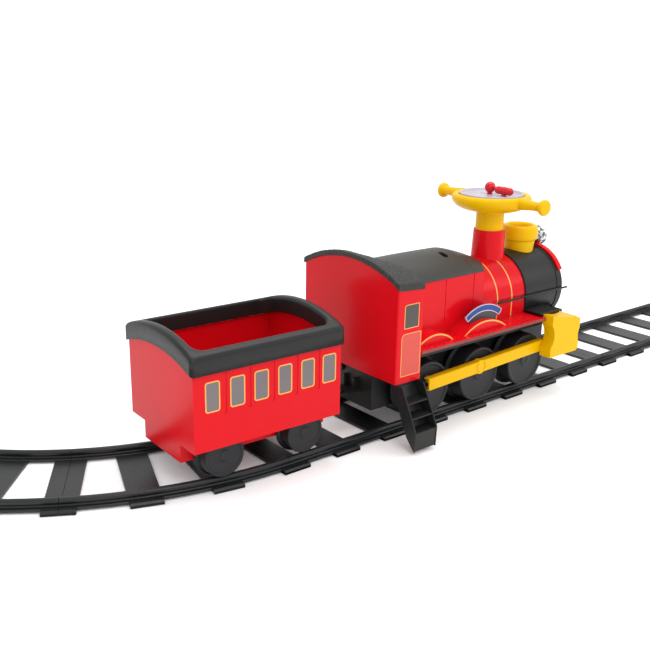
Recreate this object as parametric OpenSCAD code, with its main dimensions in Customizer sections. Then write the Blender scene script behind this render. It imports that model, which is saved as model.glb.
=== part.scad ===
// Ride-on toy train: a seat-and-steer locomotive, an open wagon and
// sectional plastic track, as separate pieces in their working places.
// +X is the way the train travels, +Z is up, the track centre line is y = 0.
// The origin is under one sleeper of the straight track, on the floor.

/* [Track] */
// Distance between sleepers
pitch = 130; // [120:1:140]
// Length of a sleeper across the track
sleeper_len = 250; // [240:1:270]
// Width of a sleeper along the track
sleeper_w = 62; // [50:1:70]
// Thickness of a sleeper
sleeper_t = 6; // [5:0.5:6]
// Distance from the track centre to each rail centre
rail_y = 100.5; // [99:0.5:102]
// Height of the rail top above the floor
rail_top = 24; // [22:0.5:24]
// Radius of the curved track, at its centre line
curve_r = 745; // [730:5:900]

/* [Engine wheels] */
// Rolling radius of an engine wheel
wheel_r = 63; // [58:0.5:63]
// Distance between engine axles
axle_gap = 164; // [160:1:168]
// Radius of the steel axles
axle_r = 5; // [4:0.5:5]
// Crank pin offset from the axle, along the track
crank_x = -4; // [-8:1:4]
// Crank pin offset from the axle, upwards
crank_z = 24; // [18:1:24]

/* [Engine body] */
// Half width of the cab
cab_hw = 152; // [148:1:152]
// Height of the cab's lower edge
cab_z = 135; // [133:1:140]
// Outer radius of the boiler
boiler_r = 91; // [88:0.5:92]
// Outer radius of the smokebox
smoke_r = 94; // [93:0.5:95]
// Height of the boiler centre line
boiler_z = 234; // [232:1:236]
// Wall thickness of the moulded shells
wall = 3; // [2.5:0.5:3.5]

/* [Steering] */
// Outer radius of the steering wheel
steer_r = 93; // [90:1:96]
// Distance from the centre to a handle knob
knob_y = 154; // [146:1:160]

/* [Wagon] */
// Length of the wagon tub
tub_l = 330; // [310:2:334]
// Width of the wagon tub
tub_w = 249; // [240:1:252]
// Rolling radius of a wagon wheel
wwheel_r = 42; // [38:0.5:42]
// Distance between wagon axles
wagon_gap = 184; // [160:2:190]
// Angle at which the wagon trails into the curve
trail_a = 1.6; // [1.3:0.1:1.9]

/* [Hidden] */
$fn = 72;
ox = -pitch;                       // design x = 0 is one sleeper behind the origin
wheel_z = rail_top + 0.3 + wheel_r;
wwheel_z = rail_top + 0.3 + wwheel_r;
deck_z = 162;                      // underside of the engine deck
board_z = 187;                     // underside of the running boards
board_t = 8;
seat_z = 317;                      // lower edge of the seat lid
hinge_x = -212; hinge_z = 354;     // seat hinge line
col_x = 142;                       // steering column
fun_x = 256;                       // funnel
pin_x = -322;                      // hitch pin
wag_d = 255;                       // hitch pin to wagon centre
rod_a = 2.24;                      // the side rods rise towards the front
tongue_l = 12;
joint_off = 8;                     // track joints lie this far behind a sleeper's middle
tub_z = 48;                        // underside of the engine chassis

// ---- helpers ----
module at() translate([ox, 0, 0]) children();

module side(s) { if (s > 0) mirror([0, 1, 0]) children(); else children(); }
// a flat outline in y and z, pushed along x from x0 to x1
module alongx(x0, x1) translate([x0, 0, 0]) rotate([90, 0, 90]) linear_extrude(x1 - x0) children();
// a flat outline in x and z, pushed from y0 to y1
module alongy(y0, y1) translate([0, y1, 0]) rotate([90, 0, 0]) linear_extrude(y1 - y0) children();
module ycyl(x, z, r, y0, y1) translate([x, y1, z]) rotate([90, 0, 0]) cylinder(r = r, h = y1 - y0);
module xcyl(x0, x1, y, z, r) translate([x0, y, z]) rotate([0, 90, 0]) cylinder(r = r, h = x1 - x0);
module box(x0, x1, y0, y1, z0, z1) translate([x0, y0, z0]) cube([x1 - x0, y1 - y0, z1 - z0]);
module wagon_place() at() translate([pin_x, 0, 0]) rotate([0, 0, -trail_a]) translate([-wag_d, 0, 0]) children();

// ---- track ----
module rail_outline() {
  translate([0, rail_top - 6.5]) circle(r = 6.5, $fn = 40);
  translate([-3.5, 6]) square([7, rail_top - 14]);
  translate([-12, 3]) square([24, 5]);
}
module sleeper(w0, w1) {
  box(w0, w1, -sleeper_len / 2, sleeper_len / 2, 0, sleeper_t);
  for (s = [-1, 1]) box(w0, w1, s > 0 ? sleeper_len / 2 - 13 : -sleeper_len / 2,
      s > 0 ? sleeper_len / 2 : -sleeper_len / 2 + 13, 0, sleeper_t + 3);
}
// the track pieces meet a little behind the middle of a sleeper
module tongues() for (s = [-1, 1]) translate([-4, s * 50 - 12, 1.5]) cube([tongue_l + 4, 24, sleeper_t - 3]);
module pockets() for (s = [-1, 1]) translate([-1, s * 50 - 12.4, 1.2]) cube([tongue_l + 1.4, 24.8, sleeper_t - 2.4]);
module straight(x0, n) {
  color("#202022") at() translate([x0 - joint_off, 0, 0]) difference() {
    union() {
      for (s = [-1, 1]) translate([0, s * rail_y, 0]) alongx(0, n * pitch) rail_outline();
      sleeper(0, sleeper_w / 2 + joint_off);
      for (k = [1 : n - 1]) translate([k * pitch + joint_off, 0, 0]) sleeper(-sleeper_w / 2, sleeper_w / 2);
      translate([n * pitch, 0, 0]) sleeper(-sleeper_w / 2 + joint_off, 0);
      translate([n * pitch, 0, 0]) tongues();
    }
    pockets();
  }
}
module curved(k) {
  color("#202022") at() translate([-4 * pitch - joint_off, curve_r, 0]) rotate([0, 0, -90 - 30 * (k + 1)]) difference() {
    union() {
      for (s = [-1, 1]) rotate_extrude(angle = 30, $fn = 180) translate([curve_r + s * rail_y, 0]) rail_outline();
      for (i = [1, 2]) rotate([0, 0, 10 * i + (k == 0 ? joint_off * 4.2 / 130 * i : 0)]) translate([curve_r, 0, 0]) rotate([0, 0, 90]) sleeper(-sleeper_w / 2, sleeper_w / 2);
      translate([curve_r, 0, 0]) rotate([0, 0, 90]) sleeper(0, sleeper_w / 2);
      rotate([0, 0, 30]) translate([curve_r, 0, 0]) rotate([0, 0, 90]) { sleeper(-sleeper_w / 2 + (k == 0 ? joint_off : 0), 0); tongues(); }
    }
    translate([curve_r, 0, 0]) rotate([0, 0, 90]) pockets();
  }
}
module curved_track_1() curved(0);
module curved_track_2() curved(1);
module straight_track_1() straight(-4 * pitch, 4);
module straight_track_2() straight(0, 4);
module straight_track_3() straight(4 * pitch, 4);
module straight_track_half() straight(8 * pitch, 2);

// ---- engine, fixed pieces ----
module engine_chassis() color("#1c1c1e") at() difference() {
  union() {
    box(-280, 292, -66, 66, tub_z, deck_z + 2);
    box(-289.5, 304, -112, 112, deck_z, board_z);
    box(pin_x - 14, -277, -22, 22, 78, 84);
    for (s = [-1, 1]) box(-290, -277, s * 16 - 3, s * 16 + 3, 83, 110);
  }
  for (v = [[-277, -84], [-81, 81], [84, 289]]) box(v[0], v[1], -63, 63, tub_z - 1, deck_z);
  box(-286, 301, -109, 109, deck_z + 4, board_z + 1);
  box(300, 305, -83, 83, deck_z + 4, board_z + 1);
  box(-84.1, -80.9, -40, 40, tub_z - 1, 100);
  box(80.9, 84.1, -40, 40, tub_z - 1, 100);
  for (i = [-1, 0, 1]) ycyl(i * axle_gap, wheel_z, axle_r + 0.06, -70, 70);
  translate([pin_x, 0, 70]) cylinder(r = 5.02, h = 20);
  xcyl(-290, -270, 35, 122, 6.05);
  for (x = [-190, 20, 150], s = [-1, 1]) translate([x, s * 82, deck_z - 1]) cylinder(r = 2.15, h = 10);
}
module cab_arch(r, c) translate([0, c]) circle(r = r, $fn = 180);
module round_rect(l, w, r) {
  square([l, w - 2 * r], center = true);
  square([l - 2 * r, w], center = true);
  for (a = [-1, 1], b = [-1, 1]) translate([a * (l / 2 - r), b * (w / 2 - r)]) circle(r = r, $fn = 48);
}
// the cab's arch leans forward a little, and its crown falls towards the seat
module cab_crown(r, drop) intersection() {
  translate([-295, 0, 0]) rotate([0, 4, 0]) translate([295, 0, 0]) alongx(-380, -190) cab_arch(r, 59);
  alongy(-170, 170) polygon([[-320, 100], [-320, 397.2 - drop], [-295, 389 - drop], [-200, 357.7 - drop], [-200, 100]]);
}
module cab_body() color("#d3151b") at() difference() {
  union() {
    intersection() {
      translate([-257, 0, cab_z]) linear_extrude(260) round_rect(72, 2 * cab_hw, 4);
      cab_crown(315, 9.1);
    }
    for (s = [-1, 1]) {
      ycyl(hinge_x, hinge_z, 5.5, s > 0 ? 62 : -72, s > 0 ? 72 : -62);
      box(-222, hinge_x, s > 0 ? 62 : -72, s > 0 ? 72 : -62, hinge_z - 5, hinge_z + 5);
    }
  }
  translate([-257, 0, cab_z - 1]) linear_extrude(270) round_rect(72 - 2 * wall, 2 * cab_hw - 2 * wall, 1.2);
  box(-226, -220, -112.3, 112.3, cab_z - 1, board_z + 0.02);
  ycyl(hinge_x, hinge_z, 2.52, -90, 90);

}
module cab_roof() color("#1a1a1c") at() intersection() {
  box(-295, -222.1, -154, 154, 300, 400);
  difference() { cab_crown(327.5, 0); cab_crown(315.1, 9); }
}
module shell_outline(r, d) intersection() {
  union() { translate([0, boiler_z]) circle(r = r, $fn = 120); translate([-r, d]) square([2 * r, boiler_z - d]); }
  translate([-r - 1, d]) square([2 * r + 2, 300]);
}
module splash_box(x0, x1) box(x0, x1, -140, -80, board_z + board_t + 0.02, 260);
module splasher(xc, zc, r, s) side(s) intersection() {
  ycyl(xc, zc, r, -135, -88);
  splash_box(xc - r, xc + r);
}
// two side walls with their splashers, and the round front, meet on a fine seam
module boiler_shell() color("#d3151b") at() difference() {
  union() {
    difference() {
      union() {
        translate([0, 0, deck_z + 4.02]) linear_extrude(seat_z - deck_z - 4.02) polygon([[31.04, -90], [32, -90], [80, -38], [80, 38], [32, 90], [31.04, 90]]);
        alongx(31.04, 180) shell_outline(boiler_r, deck_z + 4.02);
      }
      translate([0, 0, deck_z]) linear_extrude(seat_z + 1 - deck_z) polygon([[-230, -87], [30.6, -87], [77, -36.6], [77, 36.6], [30.6, 87], [-230, 87]]);
      alongx(20, 176) shell_outline(boiler_r - wall, deck_z);
      alongx(170, 181) translate([0, boiler_z]) circle(r = 70);
    }
    for (s = [-1, 1]) {
      side(s) box(-220.95, 31, -90, -87, deck_z + 4.02, seat_z);
      splasher(-164, 134.7, 82.3, s);
      difference() { splasher(-4, 105, 114, s); side(s) box(31, 120, -91.04, -80, deck_z, 300); }
    }
    for (x = [-190, 20, 150], s = [-1, 1]) translate([x, s * 82, deck_z + 4.02]) cylinder(r = 6.5, h = 50);
    translate([col_x, 0, 290]) cylinder(r = 17, h = 34);
  }
  for (x = [-190, 20, 150], s = [-1, 1]) translate([x, s * 82, deck_z]) cylinder(r = 2.05, h = 28);
  translate([col_x, 0, 280]) cylinder(r = 10.05, h = 60);
  for (x = [-92, -2], s = [-1, 1]) box(x - 1, x + 1, s > 0 ? 88.8 : -91, s > 0 ? 91 : -88.8, 222, seat_z + 1);
}
module smokebox() color("#232325") at() difference() {
  union() {
    alongx(180.05, 320) intersection() { translate([0, boiler_z]) circle(r = smoke_r, $fn = 120); translate([-smoke_r, deck_z + 4.02]) square([2 * smoke_r, 200]); }
    box(180.05, 300, -72, 72, deck_z + 4.02, boiler_z);
  }
  alongx(183, 317) intersection() { translate([0, boiler_z]) circle(r = smoke_r - wall, $fn = 120); translate([-smoke_r, deck_z + 4.02 + wall]) square([2 * smoke_r, 200]); }
  box(183, 297, -69, 69, deck_z, boiler_z);
}
module smokebox_door() color("#1a1a1c") at() translate([320, 0, boiler_z]) rotate([0, 90, 0]) rotate_extrude($fn = 120)
  polygon([[0, 0], [88, 0], [90, 1.5], [90, 5], [88, 6.5], [84, 6.5], [82, 4], [66, 5], [64, 7.5], [60, 8], [34, 10.5], [14, 11.5], [13, 15], [0, 16]]);
module front_visor() color("#d3151b") at() difference() {
  translate([308, 0, boiler_z]) rotate([0, 90, 0]) rotate([0, 0, 180 - 62]) rotate_extrude(angle = 124, $fn = 120)
    translate([smoke_r + 0.1, 0]) square([5.9, 14]);
  box(300, 330, -9, 9, 300, 350);
}
module funnel() color("#f2b705") at() difference() {
  union() {
    translate([fun_x, 0, 0]) rotate_extrude($fn = 90)
      polygon([[0, 296], [35, 296], [38.3, 348], [42, 350.5], [44.5, 356], [45, 370], [43.5, 379], [40, 384.5], [34.5, 386], [30.5, 384], [27, 377], [26, 345], [0, 345]]);
    box(fun_x + 30, fun_x + 41, -8, 8, 300, 338);
  }
  alongx(190, 330) translate([0, boiler_z]) circle(r = smoke_r + 0.1, $fn = 120);
}
module headlamp_housing() color("#c9ccd0") at() difference() {
  union() {
    translate([302.2, 0, 350]) rotate([0, 90, 0]) rotate_extrude($fn = 60)
      polygon([[0, 0], [9, 0], [17, 4], [22, 11], [22, 27], [24, 29], [24, 32], [21, 33], [18, 29], [0, 29]]);
    box(307, 317.8, -7, 7, 320, 344);
  }
  alongx(300, 330) translate([0, boiler_z]) circle(r = smoke_r + 0.1, $fn = 120);
  difference() {
    alongx(307.8, 322.2) translate([0, boiler_z]) circle(r = smoke_r + 6.2, $fn = 120);
    box(300, 330, -8.8, 8.8, 300, 360);
  }
}
module headlamp_lens() color("#e8eef2") at() translate([331.25, 0, 350]) rotate([0, 90, 0]) rotate_extrude($fn = 60)
  polygon([[0, 0], [17.9, 0], [18.4, 2], [13, 5.5], [6, 7], [0, 7.4]]);
module column_shroud() color("#d3151b") at() difference() {
  translate([col_x, 0, 300]) cylinder(r1 = 40.5, r2 = 37, h = 87.5);
  translate([col_x, 0, 299]) cylinder(r1 = 37.5, r2 = 34.4, h = 75);
  translate([col_x, 0, 360]) cylinder(r = 33.56, h = 30);
  alongx(50, 180.02) translate([0, boiler_z]) circle(r = boiler_r + 0.1, $fn = 120);
  alongx(179.9, 220) translate([0, boiler_z]) circle(r = smoke_r + 0.1, $fn = 120);
}
module running_boards() color("#c2141a") at() for (s = [-1, 1]) side(s) {
  box(-220.95, 190, -152, -91.1, board_z + 0.02, board_z + board_t);
  box(189, 222, -140.5, -94.1, board_z + 0.02, board_z + board_t);
}
// the block's top falls towards the front, its rear and front faces are waisted
module cylinder_outline(i) difference() {
  union() {
    polygon([[190 + i, 99 + i], [287, 99 + i], [287, 184 - i], [190 + i, 201.5 - i]]);
    polygon([[280, 109], [297 - i, 109], [297 - i, 173], [287, 180], [280, 180]]);
    translate([287, 109]) circle(r = 10 - i);
    translate([287, 174]) circle(r = 10 - i);
  }
  translate([160, 150]) circle(r = 41 + i);
  translate([333, 138]) circle(r = 40 + i);
}
module cylinder_case() {
  difference() {
    alongy(-172, -141) cylinder_outline(0);
    alongy(-168.5, -140) cylinder_outline(3.5);
  }
  box(216, 284, -169, -112.02, 172, board_z - 0.02);
  alongy(-142, -96.5) polygon([[190, board_z + board_t + 0.02], [190, 201.5], [222, 195.8], [222, board_z + board_t + 0.02]]);
}
module cylinder_left() color("#f2b705") at() side(1) cylinder_case();
module cylinder_right() color("#f2b705") at() side(-1) cylinder_case();
module steps_case() {
  for (x = [-291, -231]) alongx(x, x + 3)
    polygon([[-136, cab_z - 0.02], [-170, cab_z - 0.02], [-214, 50], [-212, 6], [-188, 32], [-150, 110]]);
  alongx(-288.5, -230.5) {
    polygon([[-136, cab_z - 0.02], [-139.5, cab_z - 0.02], [-153.2, 110], [-191.4, 32.5], [-188, 32], [-150, 110]]);
    translate([-185.5, 101]) square([35, 3]);
    translate([-200, 73]) square([33, 3]);
    translate([-213, 45]) square([31, 3]);
    polygon([[-213, 48], [-211.2, 8], [-208.2, 8], [-210, 48]]);
  }
  box(-288, -231, -150, -66.02, cab_z - 4, cab_z - 0.02);
}
module steps_left() color("#2b2b2e") at() side(1) steps_case();
module steps_right() color("#2b2b2e") at() side(-1) steps_case();
module nameplates() color("#3a3d42") at() for (s = [-1, 1]) side(s) difference() {
  intersection() {
    union() {
      difference() { ycyl(3, 151, 100, -121, -118); ycyl(3, 151, 84, -122, -117); }
      difference() { ycyl(3, 151, 86, -120.5, -118); ycyl(3, 151, 56, -122, -117); }
    }
    alongy(-123, -116) polygon([[3, 151], [3 - 84, 260], [3 + 84, 260]]);
  }
  ycyl(-4, 105, 114.05, -140, -100);
}
module handrails() color("#1c1c1e") at() for (s = [-1, 1]) side(s) {
  xcyl(76, 333, -98, 236, 2.4);
  for (x = [96, 168]) ycyl(x, 236, 2, -98, -boiler_r - 0.02);
}
module battery() color("#3d4147") at() {
  box(-205, -135, -23.5, 23.5, deck_z + 4.02, deck_z + 102);
  for (s = [-1, 1]) box(-174, -166, s * 14 - 2.5, s * 14 + 2.5, deck_z + 101, deck_z + 108);
}
module gearbox() color("#d9d9d2") at() difference() {
  box(-34, 50, -11, 11, 54, deck_z - 0.02);
  box(-31, 47, -8.5, 8.5, 57, deck_z - 4);
  ycyl(0, wheel_z, axle_r + 0.06, -20, 20);
  ycyl(27.6, wheel_z + 23.1, 3, 5, 20);
}
module motor() color("#9a9da1") at() difference() {
  union() { ycyl(27.6, wheel_z + 23.1, 14, 11.02, 49); ycyl(27.6, wheel_z + 23.1, 5, 48, 53); }
  ycyl(27.6, wheel_z + 23.1, 1.55, 10, 40);
}
module sound_unit() color("#2f3338") at() {
  box(196, 286, -38, 38, deck_z + 4.02, deck_z + 22);
  translate([241, 0, deck_z + 21]) cylinder(r1 = 33, r2 = 18, h = 16);
}
module charging_socket() color("#0f0f10") at() difference() {
  union() { xcyl(-286, -270, 35, 122, 6); xcyl(-286, -280.02, 35, 122, 10); }
  xcyl(-287, -274, 35, 122, 2.8);
}
module hitch_pin() color("#b9bcc0") at() translate([pin_x, 0, 0]) {
  translate([0, 0, 72]) cylinder(r = 5, h = 22);
  translate([0, 0, 90.8]) cylinder(r = 9, h = 4);
  translate([0, 0, 72]) cylinder(r = 8, h = 5.9);
}
module body_fasteners() color("#b9bcc0") at() {
  for (x = [-190, 20, 150], s = [-1, 1]) translate([x, s * 82, 0]) {
    translate([0, 0, deck_z - 2.4]) cylinder(r = 4, h = 2.38);
    translate([0, 0, deck_z - 1]) cylinder(r = 2, h = 24);
  }
  ycyl(hinge_x, hinge_z, 2.5, -73, 73);
}

// ---- seat lid ----
// the lid lifts at its front edge; the part in front of it is fixed
module dome(g) intersection() { translate([0, 242.8]) circle(r = 118.2 - g, $fn = 120); translate([-92 + g, seat_z + 0.3 - 2 * g]) square([184 - 2 * g, 100]); }
module front_part(g) hull() {
  alongx(-5.7, -5.6) dome(g);
  translate([32 - g, -92 + g, seat_z + 0.02 - 2 * g]) cube([0.1, 184 - 2 * g, 2]);
  alongx(79.9 - 2 * g, 80 - 2 * g) intersection() { translate([0, boiler_z]) circle(r = boiler_r + 2.6 - g / 2, $fn = 48); translate([-38 + g, seat_z + 0.02 - 2 * g]) square([76 - 2 * g, 40]); }
}
module seat_nose() color("#1a1a1c") at() difference() {
  front_part(0);
  front_part(3.5);
  alongx(20, 90) translate([0, boiler_z]) circle(r = boiler_r + 0.1, $fn = 120);
}
module seat_lid() color("#1a1a1c") at() difference() {
  union() {
    difference() {
      intersection() {
        alongx(-218, -6.3) dome(0);
        alongy(-95, 95) polygon([[-200, seat_z + 0.2], [-218, seat_z + 5], [-218, 358], [-215, 361.5], [0, 361.5], [0, seat_z + 0.2]]);
      }
      alongx(-214.5, -6) dome(3.5);
    }
    intersection() { ycyl(hinge_x, hinge_z, 6, -60, 60); box(-217, -200, -61, 61, 340, 360); }
  }
  for (s = [-1, 1]) box(-219, -203, s > 0 ? 61 : -73.4, s > 0 ? 73.4 : -61, 344, 370);
  ycyl(hinge_x, hinge_z, 2.56, -90, 90);
  translate([-47, -33, 335]) linear_extrude(40) { square([10, 22], center = true); for (s = [-1, 1]) translate([0, s * 11]) circle(r = 5); }
}

// ---- steering ----
module steering_post() color("#f2b705") at() translate([col_x, 0, 0]) {
  difference() {
    translate([0, 0, 364]) cylinder(r = 33.5, h = 67);
    translate([0, 0, 368]) cylinder(r = 30.5, h = 64);
  }
  translate([0, 0, 262]) cylinder(r = 10, h = 103);
  translate([0, 0, 368]) cylinder(r = 12, h = 63);
}
module steering_wheel() color("#f2b705") at() translate([col_x, 0, 0]) difference() {
  union() {
    rotate_extrude($fn = 120)
      polygon([[0, 431.02], [40, 431.02], [58, 433.5], [74, 438.5], [84, 444.5], [steer_r - 3, 451.6], [steer_r, 460.3], [steer_r - 1.5, 465.4], [87.5, 469.2], [83, 471.4], [78, 470.8], [75.4, 467], [75.2, 462], [0, 462]]);
    for (s = [-1, 1]) {
      ycyl(0, 459, 10.6, s > 0 ? 81.5 : -knob_y, s > 0 ? knob_y : -81.5);
      side(-s) translate([0, knob_y, 459]) rotate([90, 0, 0]) rotate_extrude($fn = 60) { square([12, 6]); translate([12, 0]) circle(r = 6); mirror([0, 1]) square([12, 6]); }
    }
  }
  rotate_extrude($fn = 60) polygon([[14, 430], [26, 430], [26, 436], [50, 439], [66, 446], [66, 456], [14, 456]]);
  for (y = [23, -20]) translate([20, y, 450]) cylinder(r = 6.06, h = 20);
}
module face_plate() color("#b9b6c4") at() translate([col_x, 0, 0]) difference() {
  translate([0, 0, 462.02]) rotate_extrude($fn = 120) polygon([[0, 0], [74.8, 0], [75, 10.5], [73, 12], [71, 10.5], [67, 5], [60, 3.4], [0, 3]]);
  for (y = [23, -20]) translate([20, y, 450]) cylinder(r = 6.06, h = 20);
}
module ball_button() color("#d3151b") at() translate([col_x + 20, 23, 0]) {
  translate([0, 0, 481.3]) sphere(r = 13, $fn = 48);
  translate([0, 0, 456]) cylinder(r = 6, h = 18);
}
module bar_button() color("#d3151b") at() translate([col_x + 20, -20, 477.8]) {
  ycyl(0, 0, 9.2, -17, 17);
  for (s = [-1, 1]) translate([0, s * 17, 0]) sphere(r = 9.2, $fn = 48);
  translate([0, 0, -21.8]) cylinder(r = 6, h = 17);
}

// ---- drive ----
module drive_gear() color("#e7e4da") at() difference() {
  union() { ycyl(0, wheel_z, 27.8, -4, 4); ycyl(0, wheel_z, 10, -8, 8); }
  ycyl(0, wheel_z, axle_r + 0.02, -10, 10);
}
module motor_pinion() color("#c79a3a") at() {
  ycyl(27.6, wheel_z + 23.1, 7.9, -4, 4);
  ycyl(27.6, wheel_z + 23.1, 1.5, -6, 36);
}

// ---- engine wheels and rods ----
module axle_at(x) color("#b9bcc0") at() ycyl(x, wheel_z, axle_r, -119.5, 119.5);
module axle_rear() axle_at(-axle_gap);
module axle_middle() axle_at(0);
module axle_front() axle_at(axle_gap);
module engine_wheel(x, s, crank) color("#2b2c2f") at() side(s) translate([x, -74, wheel_z]) rotate([90, 0, 0]) {
  rotate_extrude($fn = 120)
    polygon([[axle_r + 0.02, 0], [wheel_r + 6, 0], [wheel_r + 8, 2], [wheel_r + 8, 4], [wheel_r + 6.5, 6], [axle_r + 0.02, 6]]);
  rotate_extrude($fn = 120)
    polygon([[axle_r + 0.02, 6.02], [15, 6.02], [15, 30], [50, 30], [50, 6.02], [wheel_r, 6.02], [wheel_r, 45], [wheel_r - 1.5, 48], [wheel_r - 6, 48], [wheel_r - 8, 44.5], [13, 44.5], [12, 47], [axle_r + 0.02, 47]]);
  if (crank) translate([crank_x, crank_z, 44.52]) cylinder(r = 4, h = 18.48);
}
module wheel_rear_left() engine_wheel(-axle_gap, 1, true);
module wheel_rear_right() engine_wheel(-axle_gap, -1, true);
module wheel_middle_left() engine_wheel(0, 1, true);
module wheel_middle_right() engine_wheel(0, -1, true);
module wheel_front_left() engine_wheel(axle_gap, 1, false);
module wheel_front_right() engine_wheel(axle_gap, -1, false);
module side_rod() difference() {
  union() {
    difference() {
      translate([0, 0, 113.1]) rotate([0, -rod_a, 0]) {
        box(-181, 215, -140, -125, -14, 14);
        ycyl(-17, 0, 16.5, -140, -125);
      }
      translate([0, 0, 113.1]) rotate([0, -rod_a, 0]) box(-178, 212, -136.5, -124, -11, 11);
    }
    for (x = [-axle_gap, 0]) ycyl(x + crank_x, wheel_z + crank_z, 8, -138, -125);
    translate([0, 0, 113.1]) rotate([0, -rod_a, 0]) for (x = [-17, 60, 140]) box(x - 1.5, x + 1.5, -138, -125, -13, 13);
  }
  for (x = [-axle_gap, 0]) ycyl(x + crank_x, wheel_z + crank_z, 4.06, -137.3, -120);
}
module side_rod_left() color("#f2b705") at() side(1) side_rod();
module side_rod_right() color("#f2b705") at() side(-1) side_rod();

// ---- wagon, in its own frame: centre at x = 0 ----
module tub_arch(r, c) translate([0, c]) circle(r = r, $fn = 180);
module wagon_body() color("#d3151b") wagon_place() difference() {
  union() {
    intersection() {
      box(-tub_l / 2, tub_l / 2, -tub_w / 2, tub_w / 2, 94, 300);
      alongx(-200, 200) tub_arch(354.8, -87);
    }
    box(-tub_l / 2, tub_l / 2, -71, 71, 58, 121);
  }
  box(-tub_l / 2 + wall, tub_l / 2 - wall, -tub_w / 2 + wall, tub_w / 2 - wall, 121, 310);
  for (s = [-1, 1]) side(s) box(-tub_l / 2 + wall, tub_l / 2 - wall, -tub_w / 2 + wall, -71, 93, 118);
  for (v = [[-tub_l / 2 + wall, -50], [-47, 47], [50, tub_l / 2 - wall]]) box(v[0], v[1], -68, 68, 57, 118);
  for (x = [-1, 1]) ycyl(x * wagon_gap / 2, wwheel_z, 4.06, -80, 80);
}
module wagon_rim() color("#1a1a1c") wagon_place() difference() {
  intersection() {
    translate([0, 0, 230]) linear_extrude(90) round_rect(tub_l + 12, tub_w + 13, 8);
    alongx(-200, 200) difference() { tub_arch(343, -39); tub_arch(355, -87); }
  }
  translate([0, 0, 220]) linear_extrude(110) round_rect(tub_l - 30, tub_w - 27, 25);
}
module wagon_drawbar() color("#1c1c1e") wagon_place() difference() {
  union() {
    box(tub_l / 2 + 0.02, tub_l / 2 + 4, -26, 26, 64, 112);
    box(tub_l / 2 + 3, wag_d, -10, 10, 84.3, 90.3);
    for (s = [-1, 1]) box(tub_l / 2 + 3, tub_l / 2 + 40, s * 8 - 2, s * 8 + 2, 78, 100);
    translate([wag_d, 0, 84.3]) cylinder(r = 15, h = 6);
  }
  translate([wag_d, 0, 80]) cylinder(r = 5.06, h = 20);
}
module wagon_axle(x) color("#b9bcc0") wagon_place() ycyl(x, wwheel_z, 4, -107, 107);
module wagon_axle_front() wagon_axle(wagon_gap / 2);
module wagon_axle_rear() wagon_axle(-wagon_gap / 2);
module wagon_wheel(x, s) color("#2b2c2f") wagon_place() side(s) translate([x, -74, wwheel_z]) rotate([90, 0, 0]) {
  rotate_extrude($fn = 96)
    polygon([[4.02, 0], [wwheel_r + 4.5, 0], [wwheel_r + 6, 1.5], [wwheel_r + 6, 4], [wwheel_r + 5, 6], [4.02, 6]]);
  rotate_extrude($fn = 96)
    polygon([[4.02, 6.02], [12, 6.02], [12, 20], [33, 20], [33, 6.02], [wwheel_r, 6.02], [wwheel_r, 32.5], [wwheel_r - 1.5, 35], [wwheel_r - 5, 35], [wwheel_r - 6.5, 32], [11, 32], [10, 34], [4.02, 34]]);
}
module wagon_wheel_front_left() wagon_wheel(wagon_gap / 2, 1);
module wagon_wheel_front_right() wagon_wheel(wagon_gap / 2, -1);
module wagon_wheel_rear_left() wagon_wheel(-wagon_gap / 2, 1);
module wagon_wheel_rear_right() wagon_wheel(-wagon_gap / 2, -1);

curved_track_1();
curved_track_2();
straight_track_1();
straight_track_2();
straight_track_3();
straight_track_half();
engine_chassis();
cab_body();
cab_roof();
boiler_shell();
smokebox();
smokebox_door();
front_visor();
funnel();
headlamp_housing();
headlamp_lens();
column_shroud();
running_boards();
cylinder_left();
cylinder_right();
steps_left();
steps_right();
nameplates();
handrails();
battery();
gearbox();
motor();
sound_unit();
charging_socket();
hitch_pin();
body_fasteners();
seat_nose();
seat_lid();
steering_post();
steering_wheel();
face_plate();
ball_button();
bar_button();
drive_gear();
motor_pinion();
axle_rear();
axle_middle();
axle_front();
wheel_rear_left();
wheel_rear_right();
wheel_middle_left();
wheel_middle_right();
wheel_front_left();
wheel_front_right();
side_rod_left();
side_rod_right();
wagon_body();
wagon_rim();
wagon_drawbar();
wagon_axle_front();
wagon_axle_rear();
wagon_wheel_front_left();
wagon_wheel_front_right();
wagon_wheel_rear_left();
wagon_wheel_rear_right();
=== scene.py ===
import bpy
import bmesh
import math
from mathutils import Matrix, Vector, noise


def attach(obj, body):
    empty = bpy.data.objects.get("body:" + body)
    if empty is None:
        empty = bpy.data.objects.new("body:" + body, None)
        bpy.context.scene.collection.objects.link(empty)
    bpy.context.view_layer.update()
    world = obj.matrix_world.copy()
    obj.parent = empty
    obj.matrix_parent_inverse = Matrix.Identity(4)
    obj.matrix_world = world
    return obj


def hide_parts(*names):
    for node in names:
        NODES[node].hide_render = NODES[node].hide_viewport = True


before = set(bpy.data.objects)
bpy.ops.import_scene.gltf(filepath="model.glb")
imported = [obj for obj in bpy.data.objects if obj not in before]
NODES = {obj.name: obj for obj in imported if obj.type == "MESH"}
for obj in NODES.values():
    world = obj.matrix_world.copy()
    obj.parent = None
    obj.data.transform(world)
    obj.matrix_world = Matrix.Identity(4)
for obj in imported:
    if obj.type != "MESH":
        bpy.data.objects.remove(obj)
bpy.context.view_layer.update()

scene = bpy.context.scene


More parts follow.
